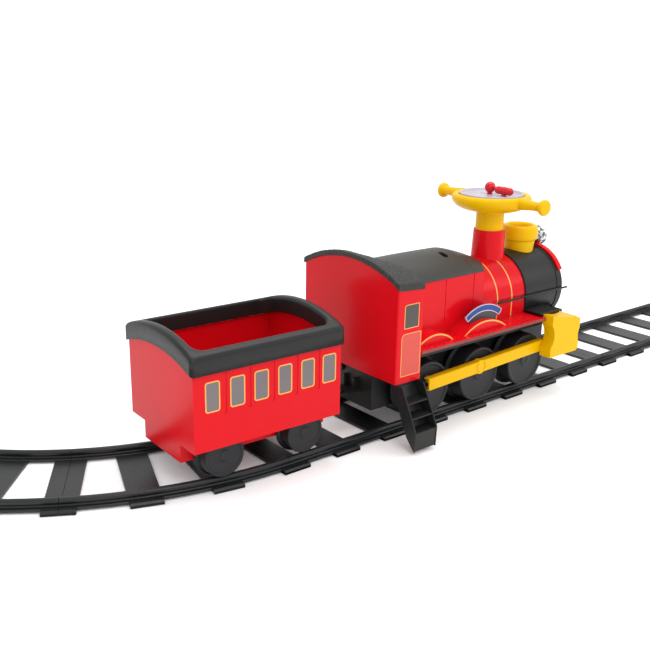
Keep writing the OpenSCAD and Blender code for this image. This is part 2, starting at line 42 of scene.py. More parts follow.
# ---------------------------------------------------------------- camera
def make_camera():
    yaw, pitch, roll = math.radians(50.76), math.radians(17.34), math.radians(0.95)
    f = Vector((math.cos(yaw) * math.cos(pitch), math.sin(yaw) * math.cos(pitch), -math.sin(pitch)))
    r = Vector((math.sin(yaw), -math.cos(yaw), 0.0))
    u = r.cross(f)
    r2 = math.cos(roll) * r + math.sin(roll) * u
    u2 = -math.sin(roll) * r + math.cos(roll) * u
    data = bpy.data.cameras.new("photo_camera")
    data.sensor_width = 36.0
    data.lens = 49.846
    data.clip_start = 0.02
    data.clip_end = 60.0
    cam = bpy.data.objects.new("photo_camera", data)
    scene.collection.objects.link(cam)
    loc = (-1.62465, -1.39257, 0.80019)
    cam.matrix_world = Matrix((
        (r2.x, u2.x, -f.x, loc[0]),
        (r2.y, u2.y, -f.y, loc[1]),
        (r2.z, u2.z, -f.z, loc[2]),
        (0.0, 0.0, 0.0, 1.0)))
    scene.camera = cam


make_camera()

# ---------------------------------------------------------------- places, in millimetres
IDENT = Matrix.Identity(4)


def move(x, y, z):
    return Matrix.Translation((x, y, z))


def turn(deg, axis):
    return Matrix.Rotation(math.radians(deg), 4, axis)


TRAIN = move(-130, 0, 0)
WAGON = TRAIN @ move(-322, 0, 0) @ turn(-1.6, "Z") @ move(-255, 0, 0)
FAR = Matrix.Diagonal((1, -1, 1, 1))
NEAR = IDENT
BOTH = (("right", NEAR), ("left", FAR))


def along_x(x, y, z):
    """Local z runs along +X."""
    return move(x, y, z) @ turn(90, "Y")


def along_y(x, y, z):
    """Local z runs along -Y, local x along +X, local y along +Z."""
    return move(x, y, z) @ turn(90, "X")


# ---------------------------------------------------------------- builders
def lathe(bm, prof, m=IDENT, n=96, a0=0.0, a1=360.0, closed=False):
    full = abs(a1 - a0) > 359.9
    cols = n if full else n + 1
    poles = {}
    vs = []
    for i in range(cols):
        a = math.radians(a0 + (a1 - a0) * i / n)
        ca, sa = math.cos(a), math.sin(a)
        col = []
        for j, (r, z) in enumerate(prof):
            if r < 1e-6:
                if j not in poles:
                    poles[j] = bm.verts.new(m @ Vector((0, 0, z)))
                col.append(poles[j])
            else:
                col.append(bm.verts.new(m @ Vector((r * ca, r * sa, z))))
        vs.append(col)
    k = len(prof)
    rows = k if closed else k - 1
    for i in range(n):
        a, b = vs[i], vs[(i + 1) % cols]
        for j in range(rows):
            q = []
            for v in (a[j], b[j], b[(j + 1) % k], a[(j + 1) % k]):
                if v not in q:
                    q.append(v)
            if len(q) > 2:
                bm.faces.new(q)
    if not full and closed:
        bm.faces.new(vs[0])
        bm.faces.new(list(reversed(vs[-1])))


def loft(bm, secs, m=IDENT, ring=True, cap=True, loop=False):
    vs = [[bm.verts.new(m @ Vector(p)) for p in s] for s in secs]
    n = len(secs[0])
    pairs = list(zip(vs, vs[1:]))
    if loop:
        pairs.append((vs[-1], vs[0]))
    for a, b in pairs:
        for j in range(n if ring else n - 1):
            k = (j + 1) % n
            bm.faces.new((a[j], a[k], b[k], b[j]))
    if cap and ring and not loop:
        bm.faces.new(list(reversed(vs[0])))
        bm.faces.new(vs[-1])


def prism(bm, pts, z0, z1, m=IDENT):
    loft(bm, [[(x, y, z0) for x, y in pts], [(x, y, z1) for x, y in pts]], m)


def ring_prism(bm, outer, inner, z0, z1, m=IDENT):
    """A flat frame between two outlines of the same number of points."""
    loft(bm, [[(x, y, z0) for x, y in outer], [(x, y, z1) for x, y in outer],
              [(x, y, z1) for x, y in inner], [(x, y, z0) for x, y in inner]], m, loop=True)


def block(bm, x0, x1, y0, y1, z0, z1, m=IDENT):
    prism(bm, [(x0, y0), (x1, y0), (x1, y1), (x0, y1)], z0, z1, m)


def rrect(x0, x1, y0, y1, r, n=6, rs=None):
    """A rounded rectangle. rs may give the radius of each corner, from top right round to bottom right."""
    rs = rs or (r, r, r, r)
    out = []
    spots = ((x1, y1, 0), (x0, y1, 90), (x0, y0, 180), (x1, y0, 270))
    for (cx, cy, a), q in zip(spots, rs):
        q = max(q, 0.02)
        px = cx - q if cx == x1 else cx + q
        py = cy - q if cy == y1 else cy + q
        for i in range(n + 1):
            b = math.radians(a + 90.0 * i / n)
            out.append((px + q * math.cos(b), py + q * math.sin(b)))
    return out


def arc(cx, cy, r, a0, a1, n):
    return [(cx + r * math.cos(math.radians(a0 + (a1 - a0) * i / n)),
             cy + r * math.sin(math.radians(a0 + (a1 - a0) * i / n))) for i in range(n + 1)]


def tube(bm, path, r, m=IDENT, n=16):
    secs = []
    pts = [Vector(p) for p in path]
    for i, p in enumerate(pts):
        d = (pts[min(i + 1, len(pts) - 1)] - pts[max(i - 1, 0)]).normalized()
        side = d.cross(Vector((0, 0, 1)))
        if side.length < 1e-3:
            side = Vector((1, 0, 0))
        side.normalize()
        up = side.cross(d)
        secs.append([tuple(p + side * (r * math.cos(2 * math.pi * k / n)) + up * (r * math.sin(2 * math.pi * k / n))) for k in range(n)])
    loft(bm, secs, m)


def finish_mesh(name, bm, place, mat):
    bmesh.ops.transform(bm, matrix=Matrix.Scale(0.001, 4) @ place, verts=bm.verts)
    bmesh.ops.recalc_face_normals(bm, faces=bm.faces)
    me = bpy.data.meshes.new(name)
    bm.to_mesh(me)
    bm.free()
    for mm in (mat if isinstance(mat, (list, tuple)) else [mat]):
        me.materials.append(mm)
    for p in me.polygons:
        p.use_smooth = True
    ob = bpy.data.objects.new(name, me)
    scene.collection.objects.link(ob)
    return ob


def soften(ob, bevel=0.0, angle=32.0, segs=2):
    if bevel:
        b = ob.modifiers.new("bevel", "BEVEL")
        b.width = bevel * 0.001
        b.segments = segs
        b.limit_method = "ANGLE"
        b.angle_limit = math.radians(angle)
        b.harden_normals = False
        b.miter_outer = "MITER_ARC"
    w = ob.modifiers.new("normals", "WEIGHTED_NORMAL")
    w.keep_sharp = True
    w.weight = 60


def emit(name, bm, mat, body, place=TRAIN, replaces=(), bevel=0.0, angle=32.0, segs=2):
    ob = finish_mesh(name, bm, place, mat)
    soften(ob, bevel, angle, segs)
    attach(ob, body)
    if replaces:
        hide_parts(*replaces)
    return ob


def evaluated(ob):
    dg = bpy.context.evaluated_depsgraph_get()
    return bpy.data.meshes.new_from_object(ob.evaluated_get(dg))


def refined(node, name, mat, body, cuts=(), bevel=1.0, angle=32.0, segs=2, extra=None):
    """A finer copy of a CAD node: welded, its flat faces joined, cut by the given shapes, and its edges rounded."""
    src = NODES[node]
    me = src.data.copy()
    me.name = name
    me.transform(src.matrix_world)
    ob = bpy.data.objects.new(name, me)
    scene.collection.objects.link(ob)
    me.materials.clear()
    me.materials.append(mat)
    bm = bmesh.new()
    bm.from_mesh(me)
    bmesh.ops.remove_doubles(bm, verts=bm.verts, dist=0.00001)
    bmesh.ops.dissolve_limit(bm, angle_limit=math.radians(0.6), verts=bm.verts, edges=bm.edges)
    for f in bm.faces:
        f.material_index = 0
    bm.to_mesh(me)
    bm.free()
    made = []
    for i, cut in enumerate(cuts):
        c = finish_mesh("%s_cut_%d" % (name, i), cut[0], cut[1], mat)
        made.append(c)
        b = ob.modifiers.new("cut", "BOOLEAN")
        b.operation = "DIFFERENCE"
        b.solver = "EXACT"
        b.object = c
    if made:
        new = evaluated(ob)
        ob.modifiers.clear()
        ob.data = new
        for c in made:
            bpy.data.objects.remove(c)
        bm = bmesh.new()
        bm.from_mesh(ob.data)
        bmesh.ops.remove_doubles(bm, verts=bm.verts, dist=0.00001)
        bmesh.ops.dissolve_limit(bm, angle_limit=math.radians(0.6), verts=bm.verts, edges=bm.edges)
        bm.to_mesh(ob.data)
        bm.free()
        ob.data.materials.clear()
        ob.data.materials.append(mat)
    if extra:
        bm = bmesh.new()
        bm.from_mesh(ob.data)
        add = bmesh.new()
        extra(add)
        bmesh.ops.transform(add, matrix=Matrix.Scale(0.001, 4) @ TRAIN, verts=add.verts)
        bmesh.ops.recalc_face_normals(add, faces=add.faces)
        tmp = bpy.data.meshes.new("tmp")
        add.to_mesh(tmp)
        add.free()
        bm.from_mesh(tmp)
        bpy.data.meshes.remove(tmp)
        bm.to_mesh(ob.data)
        bm.free()
    for p in ob.data.polygons:
        p.use_smooth = True
        p.material_index = 0
    soften(ob, bevel, angle, segs)
    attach(ob, body)
    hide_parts(node)
    return ob


def dress(node, mat, bevel=0.0, angle=35.0):
    """A CAD node that stays as it is, with a real finish and rounded edges."""
    ob = NODES[node]
    for s in ob.material_slots:
        s.material = mat
    if not ob.material_slots:
        ob.data.materials.append(mat)
    w = ob.modifiers.new("weld", "WELD")
    w.merge_threshold = 0.00001
    d = ob.modifiers.new("flat", "DECIMATE")
    d.decimate_type = "DISSOLVE"
    d.angle_limit = math.radians(0.8)
    soften(ob, bevel, angle)
    for p in ob.data.polygons:
        p.use_smooth = True


# ---------------------------------------------------------------- finishes
def shader(name):
    m = bpy.data.materials.new(name)
    m.use_nodes = True
    nt = m.node_tree
    p = nt.nodes["Principled BSDF"]
    return m, nt, p


def noise_node(nt, vec, scale, detail=3.0, rough=0.5, stretch=None):
    n = nt.nodes.new("ShaderNodeTexNoise")
    n.inputs["Scale"].default_value = scale
    n.inputs["Detail"].default_value = detail
    n.inputs["Roughness"].default_value = rough
    if stretch:
        mp = nt.nodes.new("ShaderNodeMapping")
        mp.inputs["Scale"].default_value = stretch
        nt.links.new(vec, mp.inputs["Vector"])
        nt.links.new(mp.outputs["Vector"], n.inputs["Vector"])
    else:
        nt.links.new(vec, n.inputs["Vector"])
    return n.outputs["Fac"]


def ranged(nt, src, a0, a1, b0, b1):
    r = nt.nodes.new("ShaderNodeMapRange")
    for k, v in zip(("From Min", "From Max", "To Min", "To Max"), (a0, a1, b0, b1)):
        r.inputs[k].default_value = v
    nt.links.new(src, r.inputs["Value"])
    return r.outputs["Result"]


def blended(nt, fac, a, b):
    x = nt.nodes.new("ShaderNodeMix")
    x.data_type = "RGBA"
    nt.links.new(fac, x.inputs["Factor"])
    for sock, v in ((x.inputs["A"], a), (x.inputs["B"], b)):
        if hasattr(v, "is_output"):
            nt.links.new(v, sock)
        else:
            sock.default_value = (v[0], v[1], v[2], 1.0)
    return x.outputs["Result"]


def bumped(nt, height, strength, dist, normal=None):
    b = nt.nodes.new("ShaderNodeBump")
    b.inputs["Strength"].default_value = strength
    b.inputs["Distance"].default_value = dist
    nt.links.new(height, b.inputs["Height"])
    if normal:
        nt.links.new(normal, b.inputs["Normal"])
    return b.outputs["Normal"]


def moulded(name, rgb, rough, spec=0.5, coat=0.0, tone=0.05, grain=900.0, grain_bump=0.05,
            wave=9.0, wave_bump=0.0, painted_sheen=None, painted_sheen_mix=0.0, sss=0.0, rvar=0.04, metal=0.0):
    m, nt, p = shader(name)
    co = nt.nodes.new("ShaderNodeTexCoord").outputs["Object"]
    big = noise_node(nt, co, 6.0, 4.0, 0.55)
    fine = noise_node(nt, co, 160.0, 5.0, 0.6)
    lo = [max(c * (1 - tone), 0.0) for c in rgb]
    hi = [min(c * (1 + tone), 1.0) for c in rgb]
    col = blended(nt, ranged(nt, big, 0.35, 0.65, 0.0, 1.0), lo, hi)
    rgh = ranged(nt, fine, 0.3, 0.7, rough - rvar, rough + rvar)
    # painted sheen: lighter grey streaks are mixed into the base colour, standing in for the sheen of the white
    # surroundings on satin black
    if painted_sheen:
        st = noise_node(nt, co, 45.0, 8.0, 0.68, (1.0, 6.0, 3.0))
        sheen_mask = ranged(nt, st, 0.60, 0.74, 0.0, painted_sheen_mix)
        col = blended(nt, sheen_mask, col, painted_sheen)
    nt.links.new(col, p.inputs["Base Color"])
    nt.links.new(rgh, p.inputs["Roughness"])
    p.inputs["Specular IOR Level"].default_value = spec
    p.inputs["Metallic"].default_value = metal
    p.inputs["Coat Weight"].default_value = coat
    p.inputs["Coat Roughness"].default_value = 0.06
    if sss:
        p.inputs["Subsurface Weight"].default_value = sss
        p.inputs["Subsurface Scale"].default_value = 0.004
        p.inputs["Subsurface Radius"].default_value = (1.0, 0.3, 0.1)
    nrm = bumped(nt, noise_node(nt, co, grain, 2.0, 0.5), grain_bump, 0.0002)
    if wave_bump:
        nrm = bumped(nt, noise_node(nt, co, wave, 2.0, 0.4), wave_bump, 0.004, nrm)
    nt.links.new(nrm, p.inputs["Normal"])
    return m


RED = moulded("red_gloss", (0.635, 0.004, 0.010), 0.22, spec=0.13, coat=0.02, tone=0.025, grain=700, grain_bump=0.02, wave=11.0, wave_bump=0.08, rvar=0.03)
RED_DEEP = moulded("red_trim", (0.60, 0.003, 0.008), 0.26, spec=0.13, coat=0.02, tone=0.025, grain=900, grain_bump=0.03, wave=20.0, wave_bump=0.05)
BLACK = moulded("black_satin", (0.0115, 0.0125, 0.0120), 0.40, spec=0.28, tone=0.12, grain=1500, grain_bump=0.10, wave=25.0, wave_bump=0.05, rvar=0.05)
SEAT = moulded("seat_satin", (0.028, 0.027, 0.0245), 0.44, spec=0.38, tone=0.10, grain=1800, grain_bump=0.14, wave=14.0, wave_bump=0.04, rvar=0.04)
ROOF = moulded("roof_rough", (0.019, 0.020, 0.018), 0.58, spec=0.45, tone=0.25, grain=420, grain_bump=0.65, wave=165.0, wave_bump=0.75, rvar=0.10)
# the lighter grey streaks in the track colour are painted sheen
TRACK = moulded("track_satin", (0.0115, 0.0125, 0.0135), 0.36, spec=0.38, tone=0.15, grain=1300, grain_bump=0.08, wave=30.0, wave_bump=0.06,
                painted_sheen=(0.055, 0.058, 0.06), painted_sheen_mix=0.45, rvar=0.07)
WHEEL = moulded("wheel_satin", (0.015, 0.0155, 0.0175), 0.44, spec=0.28, tone=0.10, grain=1500, grain_bump=0.12, wave=40.0, wave_bump=0.04, rvar=0.05)
YELLOW = moulded("yellow_gloss", (0.74, 0.425, 0.001), 0.30, spec=0.10, coat=0.0, tone=0.025, grain=900, grain_bump=0.03, wave=16.0, wave_bump=0.06, sss=0.04, rvar=0.03)
# dark red-brown standing in for painted shade and the reflected black smokebox on the red boards; no piece is given
# this material
BOARD_PAINTED_SHADE = moulded("board_painted_shade_red", (0.085, 0.016, 0.016), 0.34, spec=0.45, tone=0.12, grain=1200, grain_bump=0.10, wave=30.0, wave_bump=0.05)
# dusty pink-brown: the beaded edge's own dark red-brown, lightened with painted highlight from the white glints on the
# beads
BEAD_WITH_PAINTED_HIGHLIGHT = moulded("bead_edge_painted_highlight", (0.17, 0.062, 0.056), 0.42, spec=0.4, tone=0.2, grain=1200, grain_bump=0.12)
GOLD = moulded("gold_print", (0.90, 0.38, 0.075), 0.34, spec=0.5, tone=0.05, grain=2200, grain_bump=0.05)
PANE = moulded("window_grey", (0.165, 0.145, 0.148), 0.36, spec=0.3, tone=0.05, grain=2200, grain_bump=0.05)
PANE_CAB = moulded("cab_window_grey", (0.070, 0.062, 0.055), 0.34, spec=0.3, tone=0.08, grain=2200, grain_bump=0.05)
DOOR = moulded("door_print", (0.59, 0.078, 0.058), 0.30, spec=0.22, tone=0.02, grain=1500, grain_bump=0.04)
BLUE = moulded("blue_print", (0.012, 0.040, 0.26), 0.32, spec=0.35, tone=0.08, grain=1500, grain_bump=0.04)
PALE = moulded("pale_border", (0.50, 0.53, 0.57), 0.30, spec=0.5, tone=0.05, grain=1500, grain_bump=0.04)
SLATE = moulded("slate_plate", (0.034, 0.038, 0.044), 0.38, spec=0.45, tone=0.08, grain=1500, grain_bump=0.06)
FACE = moulded("face_lilac", (0.42, 0.39, 0.47), 0.26, spec=0.5, coat=0.15, tone=0.04, grain=1200, grain_bump=0.03, wave=14.0, wave_bump=0.04)
STEEL = moulded("steel_turned", (0.55, 0.56, 0.57), 0.30, metal=1.0, tone=0.06, grain=1400, grain_bump=0.12, rvar=0.08)
BRASS = moulded("brass_turned", (0.62, 0.42, 0.16), 0.32, metal=1.0, tone=0.06, grain=1400, grain_bump=0.12)
NYLON = moulded("nylon_gear", (0.70, 0.68, 0.61), 0.45, spec=0.45, tone=0.05, grain=1400, grain_bump=0.10, sss=0.1)
CASE = moulded("battery_case", (0.045, 0.050, 0.058), 0.46, spec=0.4, tone=0.08, grain=1300, grain_bump=0.15)
PINK = moulded("pad_red", (0.58, 0.002, 0.006), 0.16, spec=0.35, coat=0.12, tone=0.02, grain=900, grain_bump=0.015, wave=40, wave_bump=0.03)


def chrome_with_painted_reflection(name):
    m, nt, p = shader(name)
    co = nt.nodes.new("ShaderNodeTexCoord").outputs["Object"]
    n1 = noise_node(nt, co, 220.0, 4.0, 0.5)
    # painted reflection: noise mixes dark and bright patches into the chrome's base colour, standing in for the
    # surroundings and highlights it reflects
    nt.links.new(blended(nt, ranged(nt, noise_node(nt, co, 95.0, 3.0, 0.5), 0.42, 0.58, 0.0, 1.0), (0.10, 0.11, 0.10), (0.70, 0.71, 0.70)), p.inputs["Base Color"])
    nt.links.new(ranged(nt, n1, 0.3, 0.7, 0.05, 0.13), p.inputs["Roughness"])
    p.inputs["Metallic"].default_value = 1.0
    nt.links.new(bumped(nt, noise_node(nt, co, 60.0, 2.0, 0.4), 0.05, 0.001), p.inputs["Normal"])
    return m


def lens_like(name):
    m, nt, p = shader(name)
    co = nt.nodes.new("ShaderNodeTexCoord").outputs["Object"]
    n1 = noise_node(nt, co, 300.0, 3.0, 0.5)
    nt.links.new(blended(nt, n1, (0.86, 0.90, 0.92), (0.94, 0.96, 0.97)), p.inputs["Base Color"])
    nt.links.new(ranged(nt, n1, 0.3, 0.7, 0.04, 0.09), p.inputs["Roughness"])
    p.inputs["Transmission Weight"].default_value = 0.75
    p.inputs["IOR"].default_value = 1.46
    return m


PAINTED_REFLECTION_CHROME = chrome_with_painted_reflection("lamp_chrome_painted_reflection")
LENS = lens_like("lamp_lens_finish")


# ---------------------------------------------------------------- track
CURVE_R = 745.0


def on_track(s, y, z):
    """A point at distance s along the track, measured from the joint between the curve and the straight."""
    if s >= 0:
        return (-528 + s, y, z)
    a = math.radians(-90) + s / CURVE_R
    rho = CURVE_R - y
    return (-528 + rho * math.cos(a), CURVE_R + rho * math.sin(a), z)


def rail_outline(grow=0.0):
    half = [(-12, 3.0), (-12, 6.7), (-10.9, 8.0), (-6.0, 8.3), (-4.3, 9.2), (-3.5, 10.8), (-3.5, 12.0), (-4.3, 12.9)]
    ball = [(6.5 * math.cos(math.radians(a)), 17.5 + 6.5 * math.sin(math.radians(a))) for a in [216 - i * 14 for i in range(10)]]
    left = half + [p for p in ball if p[0] < -0.3]
    right = [(-x, z) for x, z in reversed(left)]
    top = [(0.0, 24.0)]
    pts = left + top + right
    return [(x * (1 - grow), 12 + (z - 12) * (1 - grow)) for x, z in pts]


def track_rails(bm, s0, s1):
    full, shrunk = rail_outline(), rail_outline(0.045)
    steps = max(2, int(round(abs(s1 - s0) / 26.0))) if s0 < -1 else 4
    for c in (-100.5, 100.5):
        secs = []
        stations = [(s0 + 0.25, shrunk), (s0 + 0.9, full)]
        for i in range(1, steps):
            stations.append((s0 + (s1 - s0) * i / steps, full))
        stations += [(s1 - 0.9, full), (s1 - 0.25, shrunk)]
        for s, o in stations:
            secs.append([on_track(s, c + x, z) for x, z in o])
        loft(bm, secs)


def track_sleeper(bm, w0, w1, m):
    """One sleeper: a plate with a shallow channel along its underside and a chamfered tab at each end."""
    plate = [(-125, 0.3), (-124.2, 0.0), (-60, 0.0), (-59, 1.0), (59, 1.0), (60, 0.0), (124.2, 0.0), (125, 0.3), (125, 5.2), (124.2, 6.0), (-124.2, 6.0), (-125, 5.2)]
    loft(bm, [[(w0, y, z) for y, z in plate], [(w1, y, z) for y, z in plate]], m)
    for s in (-1, 1):
        tab = [(s * 110, 0.4), (s * 124.2, 0.4), (s * 125, 1.2), (s * 125, 5.6), (s * 122.0, 9.0), (s * 110, 9.0)]
        loft(bm, [[(w0, y, z) for y, z in tab], [(w1, y, z) for y, z in tab]], m)
        chair = [(s * 86.5, 5.0), (s * 86.5, 7.4), (s * 88.5, 8.6), (s * 112, 8.6), (s * 112, 5.0)]
        mid = (w0 + w1) / 2
        h = min(15.0, (w1 - w0) / 2 - 3)
        if h > 4:
            loft(bm, [[(mid - h, y, z) for y, z in chair], [(mid + h, y, z) for y, z in chair]], m)


def tongue(bm, m):
    for s in (-1, 1):
        pts = rrect(-4, 12, s * 50 - 12, s * 50 + 12, 1.5, 3)
        prism(bm, pts, 1.5, 4.5, m)


def straight_piece(name, node, x0, n):
    bm = bmesh.new()
    s0 = x0 - 8 + 528
    track_rails(bm, s0, s0 + n * 130)
    base = move(x0 - 8, 0, 0)
    track_sleeper(bm, 0.3, 39, base)
    for k in range(1, n):
        track_sleeper(bm, k * 130 + 8 - 31, k * 130 + 8 + 31, base)
    track_sleeper(bm, n * 130 - 23, n * 130 - 0.3, base)
    tongue(bm, base @ move(n * 130, 0, 0))
    emit(name, bm, TRACK, "track", replaces=(node,), bevel=0.8, angle=38)


def curved_piece(name, node, k):
    bm = bmesh.new()
    arc_len = math.radians(30) * CURVE_R
    track_rails(bm, -arc_len * (k + 1), -arc_len * k)
    centre = move(-528, 745, 0)

    def at_angle(a):
        return centre @ turn(-90 - 30 * (k + 1) + a, "Z") @ move(CURVE_R, 0, 0) @ turn(90, "Z")

    shift = 8 * 4.2 / 130 if k == 0 else 0.0
    for i in (1, 2):
        track_sleeper(bm, -31, 31, at_angle(10 * i + shift * i))
    track_sleeper(bm, 0.3, 31, at_angle(0))
    track_sleeper(bm, -31 + (8 if k == 0 else 0), -0.3, at_angle(30))
    tongue(bm, at_angle(30))
    emit(name, bm, TRACK, "track", replaces=(node,), bevel=0.8, angle=38)


curved_piece("curve_rails_1", "curved_track_1", 0)
curved_piece("curve_rails_2", "curved_track_2", 1)
straight_piece("straight_rails_1", "straight_track_1", -520, 4)
straight_piece("straight_rails_2", "straight_track_2", 0, 4)
straight_piece("straight_rails_3", "straight_track_3", 520, 4)
straight_piece("straight_rails_half", "straight_track_half", 1040, 2)


# ---------------------------------------------------------------- wheels
def wheel(name, node, place, r, parts, body, crank=None):
    bm = bmesh.new()
    if r > 50:
        prof = [(11.5, -0.4), (12.5, 0.0), (30, 0.0), (31.5, 0.8), (56, 0.8), (57.5, 0.0), (r + 5.4, 0), (r + 6.8, 0.5), (r + 7.8, 1.7), (r + 8, 3.0), (r + 7.5, 4.6),
                (r + 6.2, 5.9), (r + 1.4, 7.6), (r + 0.4, 8.6), (r, 10), (r, 44.2), (r - 0.4, 46.1), (r - 1.5, 47.4), (r - 3.2, 48), (r - 5.4, 48), (r - 6.9, 47.4), (r - 7.7, 46.0),
                (r - 8.6, 44.9), (r - 10.5, 44.4), (40, 43.6), (22, 43.9), (15.5, 44.4), (14.2, 45.2), (13.4, 46.4), (12.2, 47), (8, 47.2), (5.5, 46.8), (4.5, 46.2), (0, 46.0)]
        m = along_y(place[0], -74, place[1])
    else:
        prof = [(9.0, -0.4), (10.0, 0.0), (20, 0.0), (21, 0.7), (36, 0.7), (37, 0.0), (r + 3.8, 0), (r + 5, 0.4), (r + 5.8, 1.4), (r + 6, 2.8), (r + 5.6, 4.6),
                (r + 4.8, 5.8), (r + 1.2, 7.4), (r + 0.3, 8.2), (r, 9.4), (r, 31.6), (r - 0.3, 33.4), (r - 1.2, 34.6), (r - 2.6, 35), (r - 4.2, 35), (r - 5.5, 34.5), (r - 6.2, 33.2),
                (r - 7, 32.3), (r - 8.4, 31.9), (26, 31.3), (16, 31.5), (12.4, 31.9), (11.4, 32.6), (10.6, 33.6), (9.6, 34), (6.5, 34.1), (4.6, 33.8), (3.6, 33.4), (0, 33.2)]
        m = along_y(place[0], -74, place[1])
    prof = [(0, -0.4)] + prof
    lathe(bm, prof, parts @ m, 120 if r > 50 else 96)
    if crank:
        mm = parts @ along_y(place[0] - 4, -74, place[1] + 24)
        lathe(bm, [(0, 42.5), (10.5, 42.5), (10.5, 45.2), (9.6, 46.2), (4.0, 46.4), (4.0, 62.2), (3.2, 63), (0, 63)], mm, 40)
    return bm


for ax, x, crank in (("rear", -164, True), ("middle", 0, True), ("front", 164, False)):
    for side, flip in BOTH:
        b = wheel("w", None, (x, 87.3), 63, flip, None, crank)
        emit("engine_wheel_%s_%s" % (ax, side), b, WHEEL, "axle_set_%s" % ax,
             replaces=("wheel_%s_%s" % (ax, side),), bevel=0.0)
for ax, x in (("front", 92), ("rear", -92)):
    for side, flip in BOTH:
        b = wheel("w", None, (x, 66.3), 42, flip, None)
        emit("tub_wheel_%s_%s" % (ax, side), b, WHEEL, "wagon_set_%s" % ax, place=WAGON,
             replaces=("wagon_wheel_%s_%s" % (ax, side),), bevel=0.0)


# ---------------------------------------------------------------- side rods
def rod(flip):
    bm = bmesh.new()
    lean = flip @ move(0, 0, 113.1) @ turn(-2.24, "Y")
    # a channel, open towards the wheels and at its rear end
    prof = [(-125.0, 14.0), (-137.2, 14.0), (-138.9, 13.4), (-139.7, 12.2), (-140.0, 10.6), (-140.0, -10.6), (-139.7, -12.2), (-138.9, -13.4), (-137.2, -14.0), (-125.0, -14.0),
            (-125.0, -11.4), (-136.4, -11.2), (-136.6, -10.0), (-136.6, 10.0), (-136.4, 11.2), (-125.0, 11.4)]
    secs = []
    for x, k in ((-181, 0.965), (-180.2, 1.0), (-90, 1.0), (0, 1.0), (90, 1.0), (214.2, 1.0), (215, 0.965)):
        secs.append([(x, -132 + (y + 132) * k, z * k) for y, z in prof])
    loft(bm, secs, lean)
    # the round boss near the middle crank, with its own raised ring
    lathe(bm, [(0, 0), (15.8, 0), (16.5, 0.8), (16.5, 13.6), (15.9, 14.6), (14.8, 15.0), (11.5, 15.0), (10.8, 14.4), (9.5, 14.2), (0, 14.2)], lean @ along_y(-17, -125, 0), 60)
    for x in (-168, -4):
        lathe(bm, [(4.1, 0), (8, 0), (8, 12.6), (7.4, 13.0), (4.1, 13.0)], flip @ along_y(x, -125, 111.3), 36, closed=True)
    for x in (-110, 60, 140):
        block(bm, x - 1.2, x + 1.2, -137, -125.6, -12, 12, lean)
    return bm


emit("coupling_rod_right", rod(NEAR), YELLOW, "rod_right", replaces=("side_rod_right",), bevel=0.0)
emit("coupling_rod_left", rod(FAR), YELLOW, "rod_left", replaces=("side_rod_left",), bevel=0.0)


# ---------------------------------------------------------------- wagon
WIN_X = [(-141, -110), (-89, -57), (-37, -5), (16, 48), (69, 101), (120, 153)]
STRIPS = [-99.5, -47, 5.5, 58.5, 110.5]


def wagon_cuts():
    bm = bmesh.new()
    for s in (-1, 1):
        for x in STRIPS:
            pts = rrect(x - 3.4, x + 3.4, 160.0, 252.0, 1.6, 3)
            prism(bm, pts, -1.1, 1.4, move(0, s * 124.5, 0) @ turn(90, "X"))
    return [(bm, WAGON)]


refined("wagon_body", "wagon_tub", RED, "wagon", cuts=wagon_cuts(), bevel=1.6, angle=40, segs=3)


def rim():
    bm = bmesh.new()

    def top(y):
        return math.sqrt(343.0 ** 2 - y * y) - 39.0

    def low(y):
        return math.sqrt(355.0 ** 2 - y * y) - 87.0

    rows = [(171, 131, 8, 0, "low"), (171, 131, 8, 8.5, "top"), (170.7, 130.7, 8.3, 6.0, "top"), (169.6, 129.6, 9.4, 3.4, "top"), (167.4, 127.4, 11, 1.3, "top"), (164.6, 124.6, 13, 0.2, "top"),
            (160, 120, 17, 0.0, "top"), (155.4, 115.8, 20.5, 0.3, "top"), (152.8, 113.4, 22.6, 1.3, "top"), (151.0, 112.0, 24, 3.2, "top"), (150.2, 111.2, 24.8, 5.8, "top"),
            (150, 111, 25, 8.0, "top"), (150, 111, 25, -1.2, "low"), (151, 112, 25, 0, "low")]
    secs = []
    for hl, hw, r, h, kind in rows:
        o = rrect(-hl, hl, -hw, hw, r, 12)
        # extra points along the two ends, so that the arch stays round
        full = []
        n = len(o)
        for i in range(n):
            p, q = o[i], o[(i + 1) % n]
            full.append(p)
            if abs(p[0] - q[0]) + abs(p[1] - q[1]) > 60:
                for k in range(1, 24):
                    full.append((p[0] + (q[0] - p[0]) * k / 24, p[1] + (q[1] - p[1]) * k / 24))
        z = low if kind == "low" else top
        secs.append([(x, y, z(y) - h if kind == "top" else low(y) - h) for x, y in full])
    loft(bm, secs, loop=True)
    return bm


emit("wagon_top_frame", rim(), BLACK, "wagon", place=WAGON, replaces=("wagon_rim",), bevel=0.0)


def wagon_windows():
    panes, lines = bmesh.new(), bmesh.new()
    for s in (-1, 1):
        m = (NEAR if s < 0 else FAR) @ along_y(0, -124.5, 0)
        for x0, x1 in WIN_X:
            if s > 0:
                pass
            inner = rrect(x0 + 2.4, x1 - 2.4, 170.4, 224.6, 4.0, 6)
            outer = rrect(x0, x1, 168, 227, 5.6, 6)
            prism(panes, inner, 0.02, 0.35, m)
            ring_prism(lines, outer, inner, 0.02, 0.55, m)
    emit("wagon_panes", panes, PANE, "wagon", place=WAGON)
    emit("wagon_pane_lines", lines, GOLD, "wagon", place=WAGON)


wagon_windows()
dress("wagon_drawbar", BLACK, 0.8)
dress("wagon_axle_front", STEEL)
dress("wagon_axle_rear", STEEL)


# ---------------------------------------------------------------- cab
refined("cab_body", "cab_shell", RED, "engine", bevel=1.8, angle=40, segs=3)


